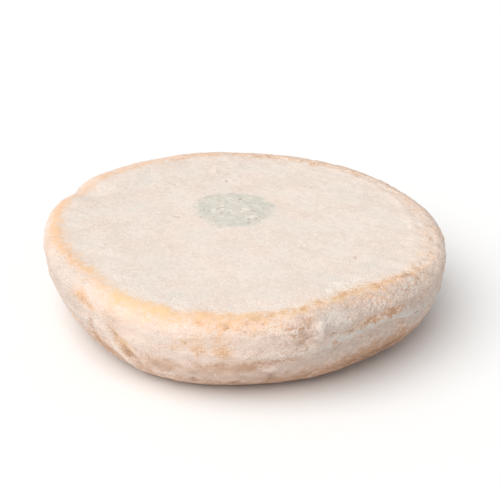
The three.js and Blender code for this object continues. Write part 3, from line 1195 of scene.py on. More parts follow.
@dataclass(frozen=True)
class Stains:
    """Where each wash lies on the rind. The rows' columns are those of RimLine, Stations, Patch and Spot.

    Attributes:
        calm: where the rind is least pebbly.
        foot_brown_and_shade_at: angle about which the foot is brownest and darkest, partly brown rind and
            partly painted shade.
        foot_brown_and_shade_half_width: half the width of that, in degrees.
        margin_inset: how far inside the worn line the crumbly bloom of the top's front margin is thickest.
    """

    calm: Patch = Patch(-113, 7.0, 15.0, 5.0, 0.35)
    foot_brown_and_shade_at: float = -48.0
    foot_brown_and_shade_half_width: float = 34.0
    margin_inset: float = 5.5
    margin_half_width: float = 6.0
    margin_white: float = 0.28
    scatter: Scatter = Scatter()
    rim: RimLine = RimLine((
        (-175, 64.6, 3.8, 2, 0.7, 0.12, 0), (-165, 63.1, 3.3, 2.8, 0.6, 0.12, 0.02),
        (-155, 62, 3.4, 2.4, 0.5, 0.1, 0.04), (-145, 61.6, 3.6, 2.4, 0.4, 0.12, 0.03),
        (-136, 62.6, 3.4, 3.6, 0.53, 0.22, 0.02), (-127, 64.4, 3.4, 4.6, 0.52, 0.38, 0),
        (-115, 65.6, 3, 4.2, 0.44, 0.4, 0), (-105, 66.2, 2.8, 4.6, 0.42, 0.16, 0.02),
        (-96, 65.3, 4, 5.6, 0.42, 0.12, 0.06), (-88, 65.2, 3.4, 4.8, 0.38, 0.14, 0.1),
        (-76, 64.6, 3.8, 4.4, 0.34, 0.14, 0.09), (-66, 62.2, 4.2, 3.6, 0.29, 0.1, 0.08),
        (-55, 61.2, 4.6, 3.8, 0.37, 0.11, 0.1), (-45, 62.2, 4.4, 3.8, 0.34, 0.06, 0.1),
        (-35, 64.8, 3.8, 3, 0.24, 0, 0.08), (-25, 66.6, 3.8, 2.4, 0.17, 0, 0.06),
        (-15, 66.6, 4.2, 2.2, 0.12, 0, 0.07), (-5, 66.3, 4.4, 2.4, 0.13, 0, 0.08),
        (10, 65, 4.2, 2.6, 0.18, 0, 0.11), (30, 63, 3.4, 2.6, 0.24, 0, 0.14),
        (60, 61.2, 3.4, 3.2, 0.37, 0, 0.23), (100, 61.8, 3.6, 3.2, 0.43, 0, 0.25),
        (118, 62.2, 3.2, 3, 0.42, 0, 0.14), (135, 64, 2.8, 3, 0.48, 0, 0.1),
        (150, 64.6, 2.6, 3, 0.46, 0, 0.05), (162, 65, 2.6, 2.6, 0.55, 0.04, 0),
        (172, 66, 3.2, 2.2, 0.74, 0.12, 0),
    ))
    crest: RimLine = RimLine((
        (-180, 65, 1.6, 1.6, 0, 0, 0), (-162, 63.4, 1.4, 1.4, 0.06, 0.04, 0),
        (-153, 62.6, 1.2, 1.4, 0.22, 0.2, 0.08), (-145, 61.9, 1.2, 1.5, 0.22, 0.24, 0.1),
        (-139, 61.4, 1.4, 1.4, 0.14, 0.16, 0.08), (-131, 63, 1.6, 1.6, 0, 0.06, 0),
        (-120, 65.6, 1.6, 1.8, 0, 0.08, 0), (-106, 65.8, 1.6, 1.8, 0.22, 0.18, 0.02),
        (-90, 65, 1.8, 1.8, 0.38, 0.34, 0.14), (-79, 64.2, 1.5, 1.6, 0.4, 0.44, 0.25),
        (-66, 61.8, 1.4, 1.4, 0.26, 0.2, 0.22), (-54, 60.2, 2.1, 1.5, 0.56, 0.46, 0.38),
        (-44, 62, 1.6, 1.4, 0.44, 0.18, 0.26), (-34, 65, 1.4, 1.3, 0.22, 0.02, 0.12),
        (-25, 66.5, 1.4, 1.2, 0.14, 0, 0.05), (-14, 66.2, 1.6, 1.3, 0.1, 0, 0.05),
        (0, 65.6, 2, 1.8, 0, 0, 0),
    ))
    # The height below which the foot browns. The browning is partly real brown and partly painted shade of
    # the foot.
    foot_line: Stations = Stations((
        (-170, 5), (-150, 8), (-140, 12), (-131, 12), (-124, 7), (-115, 4.5), (-103, 7), (-92, 7),
        (-80, 8), (-68, 10.5), (-60, 12.8), (-54, 14.4), (-48, 13.4), (-44, 13.2), (-38, 11.4), (0, 8),
        (60, 7), (120, 7), (160, 6),
    ))
    # The cool wash round the wheel: partly bloom, and partly painted shade on the right of the side.
    cool: Stations = Stations((
        (-175, 0.15), (-160, 0.4), (-145, 0.5), (-135, 0.35), (-125, 0.12), (-112, 0.02), (-100, 0.02),
        (-88, 0.05), (-75, 0.2), (-66, 0.38), (-45, 0.4), (-25, 0.46), (-10, 0.42), (5, 0.4), (30, 0.3),
        (90, 0.2), (150, 0.1),
    ))
    # The mauve above and below the side's middle: partly bloom, and partly painted shade that rises towards
    # the right of the side, where less light falls.
    mauve_and_shade_above: Stations = Stations((
        (-175, 0.12), (-155, 0.2), (-140, 0.14), (-125, 0.05), (-114, 0), (-100, 0.06), (-90, 0.11),
        (-80, 0.32), (-70, 0.64), (-60, 0.74), (-48, 0.78), (-35, 0.66), (-20, 0.38), (-10, 0.4),
        (10, 0.42), (60, 0.4), (120, 0.3), (170, 0.15),
    ))
    mauve_and_shade_below: Stations = Stations((
        (-175, 0.3), (-150, 0.3), (-135, 0.4), (-118, 0.4), (-105, 0.52), (-92, 0.74), (-78, 0.95),
        (-40, 1), (-20, 0.8), (0, 0.6), (60, 0.6), (120, 0.5), (170, 0.35),
    ))
    patches: tuple[tuple[Wash, tuple[Patch, ...]], ...] = (
        (Wash.GOLD, each(
            Patch,
            (-112, 2.6, 4.6, 1.6, 0.3), (-125, 3, 3, 1.6, 0.2), (-114.5, 7, 2, 1.2, 0.4),
            (-72.6, 1.8, 1.1, 2, 0.6), (-83, 4.8, 1.4, 1, 0.25), (-81.5, 7.4, 1.4, 0.8, 0.35),
            (-125, 16.8, 2, 3.2, 0.4, 30), (-122.6, 20.4, 3.2, 4.2, 0.45, 35),
            (-104.3, 12.2, 1.8, 1.6, 0.5), (-106.2, 14.4, 1.8, 1.4, 0.25), (-100.5, 15.2, 1.8, 2.2, 0.3),
            (-94.8, 14.6, 2.8, 2, 0.15), (-96, 21.4, 3.4, 1.5, 0.35), (-64.8, 0.4, 1.4, 1.2, 0.4),
            (-60.3, -0.4, 1.8, 1.2, 0.6), (-54, -0.6, 1.8, 1.1, 0.45), (-48, 0, 1.6, 1.1, 0.4),
        )),
        (Wash.PEACH, each(
            Patch,
            (-100.5, 5.2, 1.6, 1.1, 0.5), (-94.3, 5.3, 2.4, 1.5, 0.95), (-97.5, 7, 1.1, 0.8, 0.4),
            (-98.6, 4.6, 2.4, 1.2, 0.3), (-95, 8.5, 0.7, 1.8, 0.5), (-88, 6.4, 5, 2.4, 0.12),
            (-102, 11.5, 3.6, 2.2, 0.22), (-91, 5.4, 12, 2.8, 0.12), (-104, 11.9, 1.6, 1.3, 0.34),
            (-106, 14.1, 1.8, 1.6, 0.28), (-112.5, 10.5, 6, 3.5, -0.12), (-91, 7.2, 1, 0.8, 0.4),
            (-83.4, 4.4, 2.2, 1.6, 0.22), (-79, 6.6, 1.6, 1, 0.4), (-87.4, 8.6, 1.2, 0.8, 0.4),
            (-94.8, 11, 5, 2.2, 0.25), (-94.8, 15, 3.2, 2.4, 0.7), (-100.6, 15, 2.4, 2.4, 0.6),
            (-96, 21.5, 11, 3.6, 0.25), (-137.4, 7.6, 5.8, 2.1, 0.6, -24),
            (-133.4, 9.9, 2.4, 1.5, 0.4, -24), (-122.5, 19.6, 3.6, 5, 0.4, 35),
            (-132.5, 25, 6.4, 4, 0.42, -30), (-51.5, 11.3, 8.4, 1.8, 0.75), (-52.2, 3, 1.8, 1.2, 0.35),
            (-50, 6, 4, 1.6, 0.25), (-56, 3.2, 3, 1.6, 0.25), (-43.5, 20, 4, 2.6, 0.32, -40),
            (-110, 22.5, 6, 3, 0.3),
        )),
        (Wash.BROWN, each(
            Patch,
            (-139, 4, 6, 2.4, -0.35), (-77, 28.4, 3, 1.8, -0.35), (-104.5, 8.6, 4.4, 2.2, -0.22),
            (-137.2, 7.9, 4.6, 1.4, 0.2, -24), (-133.4, 9.9, 1.8, 1.1, 0.18, -24),
            (-114, 11, 6, 3.4, -0.15), (-134.2, 17.4, 2.2, 5.2, 0.44, -6),
            (-131.6, 25.6, 6.4, 3, 0.3, -38), (-125.8, 16.6, 1, 2.6, 0.26, 22),
            (-122.9, 21.8, 2.4, 3.6, 0.3, 35), (-121.6, 24, 2.4, 1.7, 0.36, 35),
            (-118.4, 14.6, 0.6, 0.7, 0.4), (-116.6, 15, 0.5, 0.6, 0.3), (-118.6, 19, 0.8, 1.3, 0.45),
            (-115, 20.8, 1.2, 1.1, 0.4), (-111, 23, 6.4, 3.2, 0.22), (-107.4, 23, 2.4, 3.2, 0.18),
            (-104.2, 12, 1.2, 1.1, 0.14), (-103.6, 11.6, 0.8, 0.7, 0.35), (-106.7, 15.8, 0.5, 2, 0.2),
            (-108.2, 13.6, 0.5, 1, 0.16), (-100.4, 15.4, 1.7, 2.1, 0.26), (-94.6, 15.2, 2.8, 2.2, 0.22),
            (-93.5, 5.8, 0.7, 0.3, 0.8), (-100.5, 5.2, 1.2, 0.8, 0.3), (-94.4, 5.3, 1.8, 1.2, 0.46),
            (-88.4, 5, 1.4, 0.7, 0.14, 30), (-84.4, 4.8, 1.2, 0.6, 0.3, 30),
            (-91, 7.6, 1.4, 0.6, 0.3, 30), (-94, 21.6, 8.6, 2.6, 0.3), (-96.4, 21, 3.4, 1.4, 0.2),
            (-102, 21.4, 3.6, 2.4, 0.25), (-88, 21.4, 4.6, 2.4, 0.32), (-82, 19.4, 7.2, 1.9, 0.38, 4),
            (-77, 18.9, 2.6, 1.2, 0.3), (-85.4, 15.6, 1.2, 0.8, 0.35), (-89, 7.8, 0.7, 0.5, 0.6),
            (-85.2, 6.6, 0.5, 0.4, 0.4), (-74.7, 8.2, 1.1, 2.2, 0.3), (-74.7, 12.5, 1.2, 1.8, 0.2),
            (-72.6, 5.6, 1, 2.4, 0.26), (-77.4, 8, 2.6, 0.5, 0.55), (-77.2, 10, 2.8, 0.5, 0.5, -4),
            (-78.4, 12.4, 1.8, 1, 0.22), (-66.8, 11.4, 1.8, 0.8, 0.35), (-61.8, 12.6, 1.6, 0.7, 0.3),
            (-56.8, 11.8, 2.4, 1.2, 0.5), (-54.8, 9.9, 2, 0.8, 0.4), (-51, 11.4, 8.4, 1.5, 0.62),
            (-50.5, 11.4, 4, 1.2, 0.15), (-50, 7.8, 4, 1.6, 0.3), (-65.2, 16.2, 1.9, 0.9, 0.65),
            (-58.2, 16.3, 1.3, 0.7, 0.35), (-61.5, 4, 1.1, 0.8, 0.5, 30), (-55, 3.4, 1.6, 0.7, 0.35, 30),
            (-38, 6.4, 9, 1.6, 0.3, 8), (-35.5, 2.6, 2.8, 0.9, 0.35, 12),
            (-43.5, 20, 4.2, 2.4, 0.34, -40), (-37, 12.4, 2.6, 1.4, 0.45, -10),
            (-53, 17.6, 3.4, 1, 0.25, 10),
        )),
        # Umber patches, most of them along the very foot, where they are partly painted shade where the
        # wheel meets the floor.
        (Wash.UMBER, each(
            Patch,
            (-103, 29.4, 2.6, 2.2, 0.6), (-96, 29.8, 1.1, 1.8, 0.5), (-92, 30.2, 2.4, 1.5, 0.55),
            (-82, 28.4, 2.6, 3, 0.45), (-72.5, 30.2, 3, 1.8, 0.3), (-116.7, 29.8, 0.6, 1.6, 0.55),
            (-121.8, 24.4, 1.5, 1, 0.15), (-60, 28.5, 12, 2.4, 0.35), (-44, 28.5, 8, 2.6, 0.4),
            (-38.7, 16.8, 3, 0.5, 0.8, -20, -0.2), (-93.5, 5.8, 0.5, 0.25, 0.6),
        )),
        (Wash.WHITE, each(
            Patch,
            (-139, 4.4, 7, 2.2, 0.5), (-150, 6.5, 6, 2.6, 0.35), (-121.2, 6.8, 3, 1.2, 0.3),
            (-104.5, 8.5, 4.6, 2.4, 0.5), (-111.5, 11.2, 6, 3.4, 0.7), (-98.6, 11, 1, 3, 0.35),
            (-126.9, 21, 1.2, 4.4, 0.6, 14, 0.25), (-124.2, 27, 1.4, 1.2, 0.55, 0, 0.2),
            (-129.8, 13.5, 1.3, 3.2, 0.4, 8, 0.15), (-98, 18, 1.5, 1.2, 0.7, 0, 0.12),
            (-114, 17.7, 5.6, 0.8, 0.65, -5, 0.14), (-106.5, 18.8, 3.2, 0.7, 0.4, -12, 0.12),
            (-91, 13, 3.8, 1.2, 0.55), (-86.2, 10.8, 2.8, 1.8, 0.42), (-82, 8.2, 3.2, 1, 0.35, 25, 0.06),
            (-120.4, 26, 0.9, 2.7, 0.65, 18, 0.25), (-118, 26.2, 0.9, 2.6, 0.65, -14, 0.25),
            (-110.4, 27.8, 3.4, 1.3, 0.6, 8, 0.22), (-97, 24.7, 1.1, 0.9, 0.7, 20, 0.15),
            (-81.6, 16.2, 3.6, 0.7, 0.65, 10, 0.14), (-76.4, 14.9, 3, 0.7, 0.6, 20, 0.14),
            (-72.8, 15.1, 1.6, 0.8, 0.6, 10, 0.1), (-82.5, 23.2, 2.6, 1.3, 0.7, 0, 0.15),
            (-70.1, 9.8, 0.6, 2.3, 1, 2, 0.3), (-69.8, 7.8, 1.6, 0.45, 0.8, 0, 0.2),
            (-77.6, 9, 2.6, 0.45, 0.7, 0, 0.15), (-77.4, 11.2, 2.4, 0.5, 0.5, 0, 0.1),
            (-65, 6.4, 3, 2.6, 0.5, 0, 0.1), (-66.4, 8.6, 0.5, 0.4, 0.5, 0, 0.1),
            (-51.5, 5, 3.2, 1.4, 0.4, 35), (-79, 24.6, 2, 1, 0.3), (-64, 13.8, 5.2, 0.7, 0.5),
            (-55.5, 13.1, 5, 0.6, 0.4, 5), (-62.4, 9.8, 2.6, 1.4, 0.45),
            (-48.4, 12.6, 3.2, 0.8, 0.35, -12), (-43.2, 15, 3.4, 1.1, 0.6, -38, 0.1),
            (-40, 16.2, 2, 0.8, 0.4, -30),
        )),
        (Wash.MAUVE, each(
            Patch,
            (-111, 23.2, 7, 3.6, 0.5), (-100, 25, 6, 2.4, 0.2), (-94, 21.6, 10, 3.2, 0.3),
            (-75.6, 11.2, 3.4, 3.8, 0.2),
        )),
        # Cool patches on the right of the side, which are partly painted shade there.
        (Wash.COOL, each(
            Patch,
            (-78, 24.2, 5.6, 3.2, 0.2), (-69, 21.6, 9, 3.6, 0.2), (-66, 6.8, 5, 3.6, 0.4),
            (-62, 13.8, 8, 1, 0.4), (-50, 12.8, 5, 1, 0.3), (-43, 15, 4, 1.5, 0.35, -38),
            (-36, 19.6, 3, 1.8, 0.5), (-38, 6.4, 9, 2, 0.25),
        )),
    )
    spots: tuple[tuple[Wash, tuple[Spot, ...]], ...] = (
        (Wash.COOL, each(
            Spot,
            (-36, -18, 12, 7, -35, 0.14), (-52, -28, 12, 5, -62, 0.12), (-56, -4, 12, 5, 95, 0.14),
            (-48, 14, 9, 8, 0, 0.05), (4, -53, 22, 6, 0, 0.35), (33, -37, 12, 6, 30, 0.35),
            (51, -12, 6, 4, 80, 0.35), (51, -16, 1.1, 1, 0, 1.2), (40, 16, 10, 8, 0, 0.2),
            (-4, 50, 14, 6, 0, 0.2), (-30, 44, 14, 6, 30, 0.15),
        )),
        (Wash.PEACH, each(
            Spot,
            (-24, -12, 9, 4, 100, 0.34), (-20, 3, 7, 5, 100, 0.25), (3, -21, 9, 3, 0, 0.2),
            (-14, -50, 10, 7, 0, 0.22), (5, -57.5, 18, 4, 6, 0.6), (14, 20, 10, 6, 100, 0.25),
            (-58, 24, 7, 3, 60, 0.3), (58, 5, 14, 4, 85, 0.25), (38, -24.5, 3, 2, 50, 0.4),
        )),
        (Wash.BROWN, each(
            Spot,
            (37.7, -25.1, 1.6, 0.6, 50, 0.36), (-23, 4.1, 0.8, 0.5, -30, 0.5),
            (51, -16.2, 0.7, 0.6, 0, 0.3), (12.2, 6.1, 0.4, 0.35, 0, 0.4),
        )),
        (Wash.WHITE, each(
            Spot,
            (-10.4, 46.5, 3.2, 1.8, 88, 0.4), (8.6, 45.6, 1.6, 1.6, 0, 0.35), (31, 38.5, 4, 1, -48, 0.35),
            (11, 33.5, 2.4, 1, 20, 0.25), (-4, 37.5, 1.2, 1, 0, 0.7), (-45.5, -17, 2.2, 1, 62, 0.4),
            (-43, -25, 9, 4, -50, 0.4), (20.8, -16.4, 2.8, 0.7, -60, 0.4),
            (-2.6, -22.8, 0.8, 0.8, 0, 0.45), (36, -22, 1.6, 0.8, 30, 0.4), (30, -44, 6, 1.6, 30, 0.12),
            (31, -45, 1.3, 1, 30, 0.4), (26.5, -49, 1.3, 0.9, 30, 0.3), (37, -39.5, 1.6, 0.9, 40, 0.3),
            (21.5, -47, 1.2, 0.9, 20, 0.3), (11, -49, 1.4, 1.2, 0, 0.35), (2.6, -55.6, 1.2, 2, 0, 0.35),
            (53, 20.5, 4.5, 0.8, 110, 0.45), (56, 11.5, 4.5, 0.8, 102, 0.4), (57.8, 2, 5, 0.8, 97, 0.45),
            (39, -23, 1.6, 0.8, 30, 0.4), (-16, -46.5, 1.4, 1, 0, 0.35), (33, 37, 1.6, 0.8, -40, 0.35),
            (19, 51.5, 3, 0.9, -15, 0.3), (-5.8, 52.4, 2.4, 1, 0, 0.3), (-9.5, 32, 1.2, 0.8, 0, 0.3),
            (1.8, 28, 1.2, 0.8, 0, 0.3), (46.8, 7.5, 1.4, 0.8, 0, 0.3), (6, -57, 8, 2.2, 10, 0.12),
            (45, 3, 5, 1.2, -30, 0.25), (11.5, 20.6, 2.6, 0.9, -15, 0.4),
        )),
    )


class RindPainting:
    """Works out how the washes lie on some skin of the rind, one after another.

    Places are bent by noise before a patch or a band is measured, so that their edges wander.
    """

    def __init__(self, rind: "Rind", skin: Skin) -> None:
        """Starts with no wash, and with a thin uneven bloom.

        Args:
            rind: the rind.
            skin: the smooth skin.
        """
        self.rind, self.skin, self.stains, self.relief = rind, skin, rind.stains, rind.relief
        self.noise = {name: grain.at(skin.points()) for name, grain in NOISES.items()}
        self.washes = {wash: np.zeros_like(skin.x) for wash in Wash}
        self.on_face = {wash: np.zeros_like(skin.x) for wash in Wash}
        self.thickness = 0.03 * self.noise["slow"]
        self.on_side = ease(skin.down, -1.5, 2.0)
        self.right = ease(skin.x, -5.0, 40.0) * self.on_side
        rim = rind.form.rim(skin.degrees)
        self.reach = skin.reach(rim, rind.form.widest_height) + 0.25 * self.noise["sway"]
        self.past_line = self.stains.rim.past(skin.degrees, self.reach)
        self.past = ease(self.past_line, -1.5, 2.5)

    def rim(self) -> None:
        """Peach, gold and brown of the worn lines, mottled."""
        mottle = 0.14 * self.noise["blotch"] + 0.18 * self.noise["mottle"]
        for band in (self.stains.rim, self.stains.crest):
            line = band.hill(self.skin.degrees, self.reach) * (1.0 + mottle)
            for column in (Column.PEACH, Column.GOLD, Column.BROWN):
                self.washes[Wash[column.name]] += band.at(self.skin.degrees, column) * line

    def bloom(self) -> None:
        """Cool and mauve outside the worn line, which change round the wheel and down the side.

        They are partly bloom, and partly painted shade that darkens and cools the right of the side.
        """
        degrees, stains, slow = self.skin.degrees, self.stains, self.noise["slow"]
        below = 1.0 - ease(self.skin.z, 7.0, 21.0)
        mauve = (1.0 - below) * stains.mauve_and_shade_above.at(degrees) + below * stains.mauve_and_shade_below.at(degrees)
        self.washes[Wash.COOL] += self.past * (stains.cool.at(degrees) * (1.0 - 0.4 * below) + 0.06 * slow)
        self.washes[Wash.MAUVE] += self.past * (mauve + 0.06 * self.noise["quick"] - 0.05 * slow)

    def foot(self) -> None:
        """Brown, peach and umber that grow towards the foot, and thin white all over the side.

        The brown and umber at the foot, most of all at the right front, are partly painted shade of the
        foot.
        """
        slow, quick, side, stains = self.noise["slow"], self.noise["quick"], self.on_side, self.stains
        above = self.skin.z - (stains.foot_line.at(self.skin.degrees) + 0.8 * self.noise["sway"])
        foot = 1.0 - ease(above, -3.5, 5.0)
        # Partly painted shade: brown and umber deepen at the foot, most of all at the right front, where
        # the foot gets least light.
        low = bump(wrapped(self.skin.degrees - stains.foot_brown_and_shade_at), stains.foot_brown_and_shade_half_width)
        self.washes[Wash.BROWN] += side * ((0.4 + 0.5 * low) * foot + 0.05 * quick + 0.03 * slow + 0.04)
        self.washes[Wash.PEACH] += side * (0.1 * foot + 0.12 + 0.07 * slow - 0.03 * quick)
        self.washes[Wash.UMBER] += side * ((0.1 + 0.24 * low) * (1.0 - ease(above, -9.0, -1.0)))
        self.washes[Wash.WHITE] += side * (0.12 - 0.05 * quick - 0.05 * slow)

    def raised_parts(self) -> None:
        """Pale bloom on the seam, the folds' lips and the wrinkles, and brown in the grooves."""
        skin, relief, side = self.skin, self.relief, self.on_side
        seam = relief.seam_strength(skin) * side * bump(relief.seam_offset(skin), 0.8)
        grooves = sum(fold.line(skin, 0.0, 0.7 * fold.half_width) for fold in relief.folds)
        lips = sum(fold.line(skin, fold.lip_offset, 1.1) for fold in relief.folds)
        self.washes[Wash.COOL] += 0.5 * seam
        self.washes[Wash.WHITE] += 0.4 * seam + 0.5 * lips * side + 1.6 * relief.wrinkles(skin) * side
        self.washes[Wash.BROWN] += 0.2 * grooves * side

    def streaks(self) -> None:
        """Brown and white streaks and flecks on the right of the side, fewer at its very right."""
        calmer = 1.0 - 0.6 * bump(self.skin.degrees, 42.0)
        streaks, flecks = (self.noise[name] * self.right * calmer for name in ("streaks", "flecks"))
        self.washes[Wash.BROWN] += 0.13 * streaks + 0.06 * flecks - 0.03 * self.right
        self.washes[Wash.WHITE] -= 0.10 * streaks + 0.08 * flecks

    def patches(self) -> None:
        """The patches of the side, some of which add to the bloom's thickness."""
        round_by = 0.35 * self.noise["sway"] + 0.22 * self.noise["ragged"]
        down = self.skin.down + 0.25 * self.noise["sway_down"] + 0.2 * self.noise["ragged_down"]
        for wash, patches in (*self.stains.patches, *self.stains.scatter.patches()):
            for patch in patches:
                there = patch.at(self.skin.along(patch.angle) + round_by, down)
                self.washes[wash] += patch.amount * there
                self.thickness += patch.relief * there * self.on_side

    def spots(self) -> None:
        """The spots of the top, and umber in its nicks. Peach and cool spots are the flat face's own."""
        x, y, top = self.skin.x, self.skin.y, 1.0 - self.on_side
        for wash, spots in self.stains.spots:
            for spot in spots:
                there = spot.at(x + 0.5 * self.noise["sway"], y + 0.5 * self.noise["sway_down"])
                self.on_face[wash] += spot.amount * there
        for wash in (Wash.BROWN, Wash.UMBER, Wash.WHITE):
            self.washes[wash] += self.on_face[wash] * top
        dents = sum(max(-nick.amount, 0.0) * nick.at(x, y) for nick in self.relief.nicks)
        self.washes[Wash.UMBER] += 1.3 * dents * top

    def margin(self) -> Array:
        """How much crumbly bloom there is: a soft hill along the front of the top, inside the worn line.

        Returns:
            Amounts, from 0 to 1.
        """
        front = ease(self.skin.degrees, -160.0, -125.0) * (1.0 - ease(self.skin.degrees, -48.0, -28.0))
        hill = bump(self.past_line + self.stains.margin_inset, self.stains.margin_half_width)
        return front * hill * (1.0 - self.on_side)

    def pebbly(self) -> Array:
        """How pebbly the rind is: more so at the right, less so in its calm places and on the worn lines.

        Returns:
            Shares of the usual.
        """
        skin, stains = self.skin, self.stains
        left = ease(-skin.x, 25.0, 50.0)
        crest, rim = (line.hill(skin.degrees, self.reach) for line in (stains.crest, stains.rim))
        calm = stains.calm.at(skin.along(stains.calm.angle), skin.down) * stains.calm.amount
        calm += 0.35 * (1.0 - left) * crest
        calm += 0.4 * left * rim + 0.3 * (1.0 - ease(skin.z, 8.0, 18.0))
        rough = 0.1 + 0.45 * ease(skin.z, 6.0, 16.0)
        return 0.9 + rough * self.right + 0.1 * self.noise["slow"] - calm + 0.5 * self.margin()

    def values(self) -> Values:
        """Lays all washes, one kind of place after another.

        Returns:
            The named values that the material reads.
        """
        sides = (self.rim, self.bloom, self.foot, self.raised_parts, self.streaks, self.patches)
        for lay in (*sides, self.spots):
            lay()
        x, y, margin = self.skin.x, self.skin.y, self.margin()
        values = face_values(self.skin.points())
        values |= {wash.value: amount for wash, amount in self.washes.items()}
        for name in ("cool", "mauve"):
            values[name] = np.clip(values[name], 0.0, 1.0)
        values["white"] = values["white"] + self.stains.margin_white * margin
        values["blush"] += 0.7 * self.on_face[Wash.PEACH] + self.rind.mark.blush(x, y)
        values["chill"] += 0.7 * self.on_face[Wash.COOL]
        own = {"face": 1.0 - self.past, "smooth": 1.0 - 0.5 * margin, "pebbly": self.pebbly()}
        return values | own | {"casein": self.rind.mark.casein(x, y)}


# The pieces


def round_about(columns: int) -> Array:
    """The angles of a piece's columns, as a row."""
    return np.linspace(-180.0, 180.0, columns, endpoint=False)[None, :]


